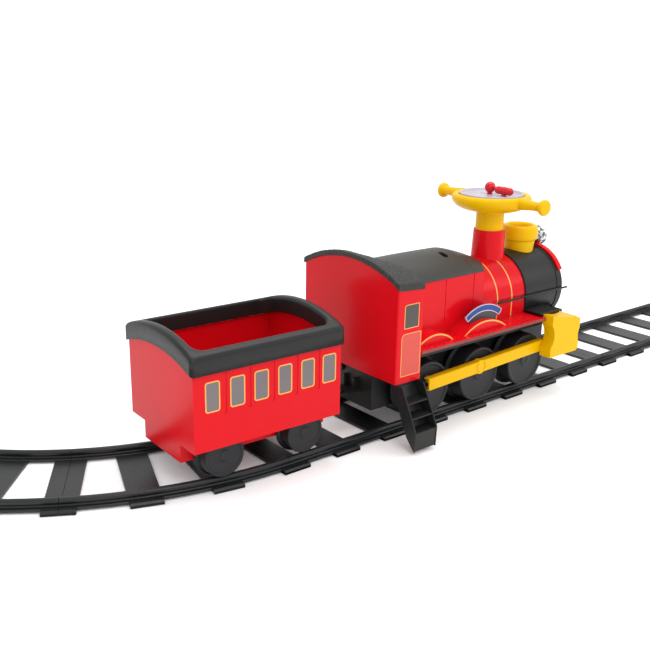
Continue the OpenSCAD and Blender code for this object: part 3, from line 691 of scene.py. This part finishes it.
def cab_decals():
    panes, doors, lines = bmesh.new(), bmesh.new(), bmesh.new()
    for side, flip in BOTH:
        m = flip @ along_y(0, -152, 0)
        inner = rrect(-273.4, -235.6, 253.6, 301.4, 1.6, 4, rs=(1.2, 5.0, 1.0, 1.0))
        outer = rrect(-275, -234, 252, 303, 2.2, 4, rs=(1.8, 6.4, 1.6, 1.6))
        prism(panes, inner, 0.02, 0.30, m)
        ring_prism(lines, outer, inner, 0.02, 0.5, m)
        inner = rrect(-279.6, -227.6, 151.4, 240.6, 1.6, 4, rs=(2.6, 8.0, 1.4, 1.4))
        outer = rrect(-281, -226.2, 150, 242, 2.2, 4, rs=(3.6, 9.2, 2.2, 2.2))
        prism(doors, inner, 0.02, 0.30, m)
        ring_prism(lines, outer, inner, 0.02, 0.5, m)
    emit("cab_panes", panes, PANE_CAB, "engine")
    emit("cab_doors", doors, DOOR, "engine")
    emit("cab_lines", lines, GOLD, "engine")


cab_decals()


def crown(x, y, r):
    lean = math.radians(4.0)
    return (59 + math.sqrt(r * r - y * y) - (x + 295) * math.sin(lean)) / math.cos(lean)


def crown_slope(x):
    return 389.0 - (x + 295.0) * 31.3 / 95.0


def roof():
    bm = bmesh.new()
    x0, x1 = -295.0, -222.1
    ys = [-154 + 308 * i / 264 for i in range(265)]
    nx = 60

    def top(x, y):
        a, b = crown(x, y, 327.1), crown_slope(x) - 0.4
        h = max(7.0 - abs(a - b), 0.0) / 7.0
        return min(a, b) - h * h * 7.0 / 4

    def low(x, y):
        return min(crown(x, y, 315.1), crown_slope(x) - 9.0)

    def rough(x, y):
        p = Vector((x / 6.0, y / 6.0, 3.1))
        d, pts = noise.voronoi(p)
        cell = min(d[1] - d[0], 0.55) / 0.55
        wob = noise.noise(Vector((x / 17.0, y / 17.0, 0.4)))
        fine = noise.noise(Vector((x / 2.6, y / 2.6, 7.7)))
        return 1.15 * cell + 0.6 * wob + 0.4 * fine - 1.0

    secs = []
    for y in ys:
        ny = y / 327.5
        nz = math.sqrt(max(1 - ny * ny, 0.0))
        edge = min(1.0, (154 - abs(y)) / 2.6)
        b, t = low(x0, y), top(x0, y)
        sec = [(x0 + 0.8, y, b), (x0 + 0.0, y, b + 1.2)]
        sec.append((x0 + 0.1 + 0.3 * max(rough(x0, y), 0), y, t - 3.6))
        sec.append((x0 + 0.9 + 0.3 * max(rough(x0 + 2, y), 0), y, t - 1.5))
        for i in range(nx + 1):
            x = x0 + 2.4 + (x1 - x0 - 4.8) * i / nx
            d = rough(x, y)
            drop = 1.6 * (1 - edge) ** 2
            sec.append((x, y + ny * d * edge, top(x, y) + nz * d - drop))
        b, t = low(x1, y), top(x1, y)
        sec.append((x1 - 0.8, y, t - 1.5))
        sec.append((x1 - 0.1, y, t - 3.2))
        sec += [(x1 - 0.0, y, b + 1.2), (x1 - 0.8, y, b)]
        secs.append(sec)
    loft(bm, secs)
    return bm


emit("cab_roof_rough", roof(), ROOF, "engine", replaces=("cab_roof",), bevel=0.0)


# ---------------------------------------------------------------- boiler, smokebox and front
refined("boiler_shell", "boiler_and_firebox", RED, "engine", bevel=1.4, angle=38, segs=3)
refined("smokebox", "smokebox_barrel", BLACK, "engine", bevel=1.6, angle=38, segs=3)


def boiler_trim():
    gold = bmesh.new()
    for x0 in (80.4, 131.0):
        x1 = x0 + 4.0
        r = 91.0
        pts = [(-r, 195.3), (-r, 214)]
        pts += [(r * math.cos(math.radians(a)), 234 + r * math.sin(math.radians(a))) for a in range(180, -1, -3)]
        pts += [(r, 214), (r, 195.3)]
        secs = []
        for i, (y, z) in enumerate(pts):
            n = Vector((0, y, z - 234 if z > 234 else 0)).normalized()
            a, b = (y + n.y * 0.02, z + n.z * 0.02), (y + n.y * 0.6, z + n.z * 0.6)
            secs.append([(x0, a[0], a[1]), (x0 + 0.3, b[0], b[1]), (x1 - 0.3, b[0], b[1]), (x1, a[0], a[1])])
        loft(gold, secs)
    # the edge line of each splasher
    for side, flip in BOTH:
        m = flip @ along_y(0, -135, 0)
        for cx, cz, r in ((-164, 134.7, 82.3), (-4, 105, 114)):
            a0 = math.degrees(math.asin((195.2 - cz) / r))
            outer = arc(cx, cz, r - 0.1, a0, 180 - a0, 60)
            inner = arc(cx, cz, r - 3.6, 180 - a0, a0, 60)
            prism(gold, outer + inner, 0.02, 0.55, m)
    emit("gold_bands", gold, GOLD, "engine")
    ring = bmesh.new()
    lathe(ring, [(93.9, 0), (95.0, 0.4), (95.6, 1.6), (95.6, 3.4), (95.0, 4.6), (93.9, 5.0)], along_x(299, 0, 234), 120, closed=True)
    lathe(ring, [(93.9, 0), (94.6, 0.3), (94.8, 1.2), (94.6, 2.1), (93.9, 2.4)], along_x(181.0, 0, 234), 120, closed=True)
    emit("smokebox_hoops", ring, BLACK, "engine")


boiler_trim()


def door():
    bm = bmesh.new()
    m = along_x(320, 0, 234)
    prof = [(0, 0.05), (87.5, 0.05), (89.2, 0.4), (90, 1.5), (90, 4.6), (89.4, 6.0), (88, 6.5), (85, 6.5), (83.4, 5.4), (82, 4.2), (74, 4.3), (66, 4.9), (64.6, 6.2), (62.6, 7.4), (60, 8.0), (46, 9.4),
            (34, 10.4), (20, 11.1), (14.4, 11.5), (13.4, 12.4), (12.8, 14.2), (11.4, 15.0), (6, 15.7), (0, 16)]
    lathe(bm, prof, m, 120)
    for k in range(8):
        a = math.radians(22.5 + 45 * k)
        c = m @ move(78 * math.cos(a), 78 * math.sin(a), 4.0)
        lathe(bm, [(0, 0), (3.4, 0), (3.4, 1.4), (2.6, 2.2), (0, 2.5)], c, 24)
    for z in (-26, 26):
        block(bm, -8, 8, -6, 6, 4.4, 9.6, m @ move(z, 70, 0))
    return bm


emit("smokebox_door_face", door(), BLACK, "engine", replaces=("smokebox_door",), bevel=0.5)
refined("front_visor", "front_arc", RED_DEEP, "engine", bevel=1.6, angle=38, segs=3)
refined("column_shroud", "column_cone", RED, "engine", bevel=1.2, angle=38, segs=3)


def chimney():
    bm = bmesh.new()
    m = move(256, 0, 0)
    prof = [(0, 316), (35.2, 316), (35.4, 322), (38.0, 346), (38.4, 348.4), (39.6, 349.8), (41.6, 350.8), (43.4, 352.8), (44.4, 355.6), (44.9, 360), (45.0, 367), (44.7, 373), (43.9, 378), (42.4, 381.6), (40.2, 384.2),
            (37.6, 385.6), (34.8, 386.0), (32.4, 385.3), (30.6, 383.6), (29.0, 380.6), (27.4, 376.0), (26.6, 364.0), (26.0, 347.0), (24.6, 345.2), (0, 345)]
    lathe(bm, prof, m, 120)
    lathe(bm, [(0, 345.0), (9.6, 345.0), (10, 346), (8.8, 347.2), (0, 347.4)], m, 40)
    pts = rrect(30, 41, -8, 8, 2.4, 4)
    loft(bm, [[(x, y, 316) for x, y in pts], [(x, y, 336) for x, y in pts], [(30 + (x - 30) * 0.8, y * 0.86, 338) for x, y in pts]], m)
    return bm


emit("chimney_bowl", chimney(), YELLOW, "engine", replaces=("funnel",), bevel=0.0)


def lamp():
    bm = bmesh.new()
    m = along_x(302.2, 0, 350)
    prof = [(0, 0), (7.5, 0.1), (9.5, 0.7), (13.0, 2.0), (16.8, 3.9), (19.6, 7.0), (21.5, 10.4), (22.0, 13.0), (22.9, 13.6), (22.9, 15.0), (22.0, 15.6), (22.0, 19.0), (22.9, 19.6), (22.9, 21.0), (22.0, 21.6), (22.0, 26.6),
            (23.3, 27.8), (24, 29.2), (24, 31.6), (23.2, 32.7), (21.6, 33), (20.3, 32.6), (19.2, 31.0), (18.6, 29.2), (18.2, 28.98), (0, 28.9)]
    lathe(bm, prof, m, 72)
    lathe(bm, [(0, -3.0), (1.8, -2.8), (2.9, -2.0), (3.2, -0.6), (3.2, 1.0), (0, 1.0)], m, 24)
    return bm


def lamp_foot():
    bm = bmesh.new()
    pts = rrect(307, 317.6, -7, 7, 1.5, 3)
    loft(bm, [[(x, y, 327.6) for x, y in pts], [(x, y, 336) for x, y in pts]])
    return bm


emit("lamp_housing", lamp(), PAINTED_REFLECTION_CHROME, "engine", replaces=("headlamp_housing",), bevel=0.0)
emit("lamp_foot", lamp_foot(), PAINTED_REFLECTION_CHROME, "engine", bevel=0.0)


def lens():
    bm = bmesh.new()
    m = along_x(331.25, 0, 350)
    lathe(bm, [(0, 0), (17.4, 0), (17.9, 0.6), (18.2, 1.6), (17.6, 2.6), (15.2, 4.2), (13, 5.4), (9.6, 6.3), (6, 6.9), (3, 7.3), (0, 7.4)], m, 72)
    return bm


emit("lamp_glass", lens(), LENS, "engine", replaces=("headlamp_lens",), bevel=0.0)


# ---------------------------------------------------------------- running boards and their beaded edge
dress("running_boards", RED_DEEP, 0.8)


def beads():
    bm = bmesh.new()
    for side, flip in BOTH:
        for x0, x1, y in ((-219.5, 188.6, -152.0),):
            n = int((x1 - x0) / 5.0)
            secs = []
            steps = n * 6
            for i in range(steps + 1):
                x = x0 + (x1 - x0) * i / steps
                d = 0.25 + 1.15 * abs(math.sin(math.pi * n * (x - x0) / (x1 - x0))) ** 0.7
                secs.append([(x, y + 0.3, 188.2), (x, y - d * 0.75, 188.6), (x, y - d, 190.0), (x, y - d, 192.2), (x, y - d * 0.75, 193.6), (x, y + 0.3, 194.0)])
            loft(bm, secs, flip)
    emit("board_beading", bm, BEAD_WITH_PAINTED_HIGHLIGHT, "engine")


beads()


def saddle_flange():
    # the black foot of the smokebox, lying over the front of the boards
    bm = bmesh.new()
    for side, flip in BOTH:
        pts = rrect(180.4, 252, -143.0, -90.0, 3.0, 5)
        low = [(x, y, 195.1) for x, y in pts]
        mid = [(x, y, 202.2) for x, y in pts]
        top = [(216 + (x - 216) * 0.975, -116 + (y + 116) * 0.96, 203.4) for x, y in pts]
        loft(bm, [low, mid, top], flip)
    emit("smokebox_foot", bm, BLACK, "engine", bevel=0.0)


saddle_flange()


# ---------------------------------------------------------------- cylinders, steps, plates, rails
refined("cylinder_right", "cylinder_block_right", YELLOW, "engine", bevel=2.6, angle=38, segs=4)
refined("cylinder_left", "cylinder_block_left", YELLOW, "engine", bevel=2.6, angle=38, segs=4)
refined("steps_right", "cab_steps_right", BLACK, "engine", bevel=0.7, angle=38, segs=2)
refined("steps_left", "cab_steps_left", BLACK, "engine", bevel=0.7, angle=38, segs=2)


def plates():
    pale, blue, dark = bmesh.new(), bmesh.new(), bmesh.new()
    for side, flip in BOTH:
        m = flip @ along_y(0, -118, 0)
        a = 37.6
        out = arc(3, 151, 100, 90 - a, 90 + a, 40)
        inn = arc(3, 151, 84.2, 90 + a, 90 - a, 40)
        prism(blue, out + inn, 0.0, 2.2, m)
        for r0, r1 in ((98.2, 100.0), (84.2, 86.2)):
            prism(pale, arc(3, 151, r1, 90 - a, 90 + a, 40) + arc(3, 151, r0, 90 + a, 90 - a, 40), 0.1, 3.0, m)
        for s in (-1, 1):
            b0 = 90 + s * (a - 1.3)
            b1 = 90 + s * a
            prism(pale, arc(3, 151, 100, min(b0, b1), max(b0, b1), 2) + arc(3, 151, 84.2, max(b0, b1), min(b0, b1), 2), 0.1, 3.0, m)
        b = 34.0
        prism(dark, arc(3, 151, 84.0, 90 - b, 90 + b, 40) + arc(3, 151, 60, 90 + b, 90 - b, 40), 0.0, 2.0, m)
    emit("plate_band", blue, BLUE, "engine", replaces=("nameplates",), bevel=0.0)
    emit("plate_border", pale, PALE, "engine", bevel=0.35)
    emit("plate_sector", dark, SLATE, "engine", bevel=0.35)


plates()


def rails():
    bm = bmesh.new()
    for side, flip in BOTH:
        lathe(bm, [(0, 0), (1.9, 0), (2.4, 0.6), (2.4, 256.4), (1.9, 257), (0, 257)], flip @ along_x(76, -98, 236), 24)
        for x in (96, 168, 240):
            r = 91 if x < 180 else 94
            lathe(bm, [(0, 0), (2.0, 0), (2.0, 98.5 - r), (4.6, 98.2 - r - 0.1), (4.6, 98.0 - r + 2.0), (0, 98.0 - r + 2.0)], flip @ move(x, -98.0, 236) @ turn(-90, "X") @ move(0, 0, 0), 20)
    return bm


emit("boiler_rails", rails(), BLACK, "engine", replaces=("handrails",), bevel=0.0)

# ---------------------------------------------------------------- chassis and inner parts
dress("engine_chassis", BLACK, 1.0)
dress("battery", CASE, 1.2)
dress("gearbox", NYLON, 0.8)
dress("motor", STEEL, 0.4)
dress("sound_unit", CASE, 0.8)
dress("charging_socket", BLACK, 0.3)
dress("hitch_pin", STEEL, 0.5)
dress("body_fasteners", STEEL, 0.3)
dress("axle_rear", STEEL, 0.4)
dress("axle_middle", STEEL, 0.4)
dress("axle_front", STEEL, 0.4)


def gear():
    bm = bmesh.new()
    pts = []
    teeth = 28
    for i in range(teeth):
        a = 2 * math.pi * i / teeth
        p = 2 * math.pi / teeth
        for f, r in ((-0.25, 25.6), (-0.14, 27.7), (0.14, 27.7), (0.25, 25.6)):
            pts.append((r * math.cos(a + f * p), r * math.sin(a + f * p)))
    prism(bm, pts, -4, 4, along_y(0, 0, 87.3))
    for s in (-1, 1):
        lathe(bm, [(5.03, s * 3.8), (10, s * 3.8), (10, s * 7.4), (9.4, s * 8), (5.03, s * 8)], along_y(0, 0, 87.3), 40)
    return bm


emit("drive_gear_teeth", gear(), NYLON, "axle_set_middle", replaces=("drive_gear",), bevel=0.0)


def pinion():
    bm = bmesh.new()
    pts = []
    teeth = 8
    for i in range(teeth):
        a = 2 * math.pi * (i + 0.5) / teeth
        p = 2 * math.pi / teeth
        for f, r in ((-0.25, 5.4), (-0.14, 7.7), (0.14, 7.7), (0.25, 5.4)):
            pts.append((r * math.cos(a + f * p), r * math.sin(a + f * p)))
    m = along_y(27.6, 0, 110.4)
    prism(bm, pts, -4, 4, m)
    lathe(bm, [(0, -36), (1.5, -36), (1.5, 6), (0, 6)], m, 24)
    return bm


emit("pinion_teeth", pinion(), BRASS, "pinion", replaces=("motor_pinion",), bevel=0.0)


# ---------------------------------------------------------------- seat
def seat():
    bm = bmesh.new()
    k = 0.778

    def shape(t):
        base = math.sqrt(1 - k * k)
        return (math.sqrt(max(1 - (t * k) ** 2, 0.0)) - base) / (1 - base)

    def width(x):
        if x <= 28:
            return 92.0
        if x >= 80:
            return 38.0
        u = (x - 28) / 52.0
        w = 92 - 54 * u
        return w + 1.2 * math.sin(math.pi * u)

    def ridge(x):
        if x < -200:
            return 359.6 - (x + 200) ** 2 * 0.004
        if x < -14:
            return 359.6 + 0.9 * math.sin(math.pi * (x + 200) / 186.0) ** 1.0
        u = (x + 14) / 94.0
        return 359.6 - 31.8 * (0.72 * u + 0.28 * u * u)

    xs = [-218, -217.4, -216, -213] + [-210 + 4 * i for i in range(50)] + [-10 + 3 * i for i in range(29)] + [77, 79, 79.8]
    xs = sorted(set(xs))
    m = 44
    low = 317.4

    def half(x, off):
        w = width(x) - off
        zc = ridge(x) - off
        if x < -213:
            zc -= (abs(x + 213) / 5.0) ** 2 * 3.0
        out = []
        for i in range(m + 1):
            t = -1 + 2 * i / m
            t = math.sin(t * math.pi / 2) * 0.35 + t * 0.65
            tt = t * 0.985
            z = low + 2.4 * (1 - off / 4) + (zc - low - 2.4) * shape(tt)
            out.append((w * tt, z))
        edge = [(w, low + 1.1), (w - 0.4, low + 0.3)]
        left = [(-w + 0.4, low + 0.3), (-w, low + 1.1)]
        return left + out + edge

    outer = [[(x, y, z) for y, z in half(x, 0.0)] for x in xs]
    inner_x = [min(max(x, -214.5), 76.5) for x in xs]
    inner = []
    for x, xi in zip(xs, inner_x):
        row = half(xi, 3.4)
        inner.append([(xi, y, z if i not in (0, len(row) - 1) else low) for i, (y, z) in enumerate(row)])
    n = len(outer[0])
    vo = [[bm.verts.new(p) for p in row] for row in outer]
    vi = [[bm.verts.new((p[0] + 0.0003 * j, p[1], p[2])) for p in row] for j, row in enumerate(inner)]
    for a, b in zip(vo, vo[1:]):
        for j in range(n - 1):
            bm.faces.new((a[j], b[j], b[j + 1], a[j + 1]))
    for a, b in zip(vi, vi[1:]):
        for j in range(n - 1):
            bm.faces.new((a[j], a[j + 1], b[j + 1], b[j]))
    for a, b, c, d in zip(vo, vo[1:], vi, vi[1:]):
        bm.faces.new((a[0], c[0], d[0], b[0]))
        bm.faces.new((a[-1], b[-1], d[-1], c[-1]))
    for j in range(n - 1):
        bm.faces.new((vo[0][j], vo[0][j + 1], vi[0][j + 1], vi[0][j]))
        bm.faces.new((vo[-1][j], vi[-1][j], vi[-1][j + 1], vo[-1][j + 1]))
    return bm


def seat_piece(name, node, body, x0, x1, barrel):
    shell = finish_mesh(name, seat(), TRAIN, SEAT)
    cut = bmesh.new()
    for s in (-1, 1):
        y0, y1 = (61, 73.4) if s > 0 else (-73.4, -61)
        block(cut, -222, -203, y0, y1, 340, 372)
    hole = bmesh.new()
    prism(hole, rrect(-54.5, -39.5, -46, -20, 7.4, 12), 330, 380)
    round_cut = bmesh.new()
    lathe(round_cut, [(0, 20), (91.3, 20), (91.3, 92), (0, 92)], along_x(0, 0, 234), 160)
    before, after = bmesh.new(), bmesh.new()
    block(before, -300, x0, -120, 120, 250, 400)
    block(after, x1, 300, -120, 120, 250, 400)
    cuts = [finish_mesh("c%d" % i, c, TRAIN, SEAT) for i, c in enumerate((cut, hole, round_cut, before, after))]
    for c in cuts:
        b = shell.modifiers.new("cut", "BOOLEAN")
        b.operation = "DIFFERENCE"
        b.solver = "EXACT"
        b.object = c
    new = evaluated(shell)
    shell.modifiers.clear()
    shell.data = new
    for c in cuts:
        bpy.data.objects.remove(c)
    bm = bmesh.new()
    bm.from_mesh(shell.data)
    bmesh.ops.remove_doubles(bm, verts=bm.verts, dist=0.000005)
    if barrel:
        add = bmesh.new()
        lathe(add, [(2.6, -60), (6, -60), (6, 60), (2.6, 60)], along_y(-212, 0, 354), 36, closed=True)
        bmesh.ops.transform(add, matrix=Matrix.Scale(0.001, 4) @ TRAIN, verts=add.verts)
        bmesh.ops.recalc_face_normals(add, faces=add.faces)
        tmp = bpy.data.meshes.new("tmp")
        add.to_mesh(tmp)
        add.free()
        bm.from_mesh(tmp)
        bpy.data.meshes.remove(tmp)
    bm.to_mesh(shell.data)
    bm.free()
    shell.data.materials.clear()
    shell.data.materials.append(SEAT)
    for p in shell.data.polygons:
        p.use_smooth = True
        p.material_index = 0
    soften(shell, 0.8, 50, 2)
    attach(shell, body)
    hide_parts(node)


seat_piece("saddle_lid", "seat_lid", "seat", -260.0, -6.3, True)
seat_piece("saddle_nose", "seat_nose", "engine", -5.7, 200.0, False)


# ---------------------------------------------------------------- steering
def post():
    bm = bmesh.new()
    m = move(142, 0, 0)
    prof = [(0, 262), (9.4, 262), (10, 262.8), (10, 364), (32.4, 364), (33.4, 365), (33.4, 384), (33.2, 400), (32.9, 424), (33.2, 428.6), (33.4, 430.9), (12, 430.9), (0, 430.9)]
    lathe(bm, prof, m, 96)
    return bm


emit("steering_column", post(), YELLOW, "steering", replaces=("steering_post",), bevel=0.4, angle=50)


def helm():
    bm = bmesh.new()
    m = move(142, 0, 0)
    prof = [(0, 431.02), (38, 431.02), (42, 431.3), (50, 432.3), (60, 434.2), (69, 436.8), (77, 440.2), (83, 444.0), (87.4, 448.2), (90.4, 452.6), (92.4, 457.2), (93.0, 461.2), (92.4, 465.0), (90.4, 468.2), (87.4, 470.4),
            (84.0, 471.4), (80.8, 471.0), (78.2, 469.6), (76.4, 467.2), (75.5, 464.6), (75.3, 462.0), (0, 462.0)]
    lathe(bm, prof, m, 144)
    for s in (-1, 1):
        q = m @ (IDENT if s < 0 else FAR) @ along_y(0, 0, 459)
        bar = [(0, 81.5), (11.2, 81.5), (13.6, 86), (13.8, 91), (13.2, 98), (12.2, 106), (11.2, 115), (10.6, 124), (10.4, 132), (10.6, 138.5), (11.4, 142.6), (13.0, 145.4), (15.4, 147.2), (17.0, 149.2), (17.9, 152.0), (18.0, 154.8), (17.5, 157.4),
               (16.2, 159.3), (14.2, 160.2), (11.0, 160.2), (6.0, 159.9), (0, 159.8)]
        lathe(bm, bar, q, 72)
    return bm


emit("steering_rim", helm(), YELLOW, "steering", replaces=("steering_wheel",), bevel=0.0)


def face():
    bm = bmesh.new()
    m = move(142, 0, 462.02)
    prof = [(0, 0), (74.4, 0), (74.8, 0.6), (75, 9.0), (74.6, 10.6), (73.6, 11.4), (72.4, 11.2), (71.2, 9.8), (69.6, 7.4), (67.0, 5.2), (63.6, 3.9), (60.0, 3.4), (46, 3.1), (0, 3.0)]
    lathe(bm, prof, m, 120)
    for x, y, r in ((20, 23, 13.5), (20, -20, 13.5)):
        lathe(bm, [(6.4, 2.9), (r, 2.9), (r, 3.2), (r - 0.6, 3.42), (7.0, 3.42), (6.4, 3.2)], m @ move(x, y, 0), 48, closed=True)
    for k in range(4):
        a = math.radians(45 + 90 * k)
        lathe(bm, [(0, 2.6), (3.6, 2.6), (3.6, 3.4), (2.9, 4.0), (0, 4.2)], m @ move(52 * math.cos(a), 52 * math.sin(a), 0), 24)
    return bm


emit("steering_face", face(), FACE, "steering", replaces=("face_plate",), bevel=0.0)


def ball():
    bm = bmesh.new()
    m = move(162, 23, 0)
    prof = [(0, 456), (5.4, 456), (6, 456.6), (6, 470.0)]
    prof += [(13 * math.sin(math.radians(a)), 481.3 - 13 * math.cos(math.radians(a))) for a in range(30, 180, 7)] + [(0, 494.3)]
    lathe(bm, prof, m, 56)
    return bm


def bar():
    bm = bmesh.new()
    m = move(162, -20, 477.8)
    prof = [(0, -26.2)] + [(9.2 * math.cos(math.radians(a)), -17 + 9.2 * math.sin(math.radians(a))) for a in range(-82, 1, 8)]
    prof += [(9.2 * math.cos(math.radians(a)), 17 + 9.2 * math.sin(math.radians(a))) for a in range(0, 83, 8)] + [(0, 26.2)]
    lathe(bm, prof, m @ turn(90, "X"), 48)
    lathe(bm, [(0, -21.8), (5.4, -21.8), (6, -21.2), (6, -5), (0, -5)], m, 36)
    lathe(bm, [(9.2, -0.7), (9.7, -0.5), (9.7, 0.5), (9.2, 0.7)], m @ turn(90, "X"), 48, closed=True)
    return bm


emit("push_ball", ball(), PINK, "ball_button", replaces=("ball_button",), bevel=0.0)
emit("push_bar", bar(), PINK, "bar_button", replaces=("bar_button",), bevel=0.0)


# ---------------------------------------------------------------- floor and light
def floor():
    me = bpy.data.meshes.new("studio_floor")
    s = 60.0
    me.from_pydata([(-s, -s, -0.0006), (s, -s, -0.0006), (s, s, -0.0006), (-s, s, -0.0006)], [], [(0, 1, 2, 3)])
    m, nt, p = shader("studio_white")
    p.inputs["Base Color"].default_value = (0.97, 0.97, 0.97, 1.0)
    p.inputs["Roughness"].default_value = 0.75
    p.inputs["Specular IOR Level"].default_value = 0.2
    p.inputs["Emission Color"].default_value = (1.0, 1.0, 1.0, 1.0)
    p.inputs["Emission Strength"].default_value = 0.06
    me.materials.append(m)
    ob = bpy.data.objects.new("studio_floor", me)
    scene.collection.objects.link(ob)


floor()


def area(name, loc, target, size, power, tint=(1, 1, 1)):
    d = bpy.data.lights.new(name, "AREA")
    d.shape = "RECTANGLE"
    d.size, d.size_y = size
    d.energy = power
    d.color = tint
    ob = bpy.data.objects.new(name, d)
    ob.location = loc
    ob.rotation_euler = (Vector(target) - Vector(loc)).to_track_quat("-Z", "Y").to_euler()
    scene.collection.objects.link(ob)


area("key_box", (-1.2, -2.6, 2.7), (0.0, 0.0, 0.1), (1.6, 1.2), 25)
area("top_box", (0.3, 0.3, 3.0), (0.0, 0.0, 0.0), (2.2, 2.2), 48)
area("side_box", (1.9, -1.9, 1.7), (0.1, 0.0, 0.2), (1.0, 1.4), 10)

world = bpy.data.worlds.new("studio")
world.use_nodes = True
bg = world.node_tree.nodes["Background"]
bg.inputs["Color"].default_value = (1.0, 1.0, 1.0, 1.0)
bg.inputs["Strength"].default_value = 1.0
scene.world = world
scene.view_settings.view_transform = "Standard"
scene.view_settings.look = "None"
scene.view_settings.exposure = 0.0
scene.view_settings.gamma = 1.0
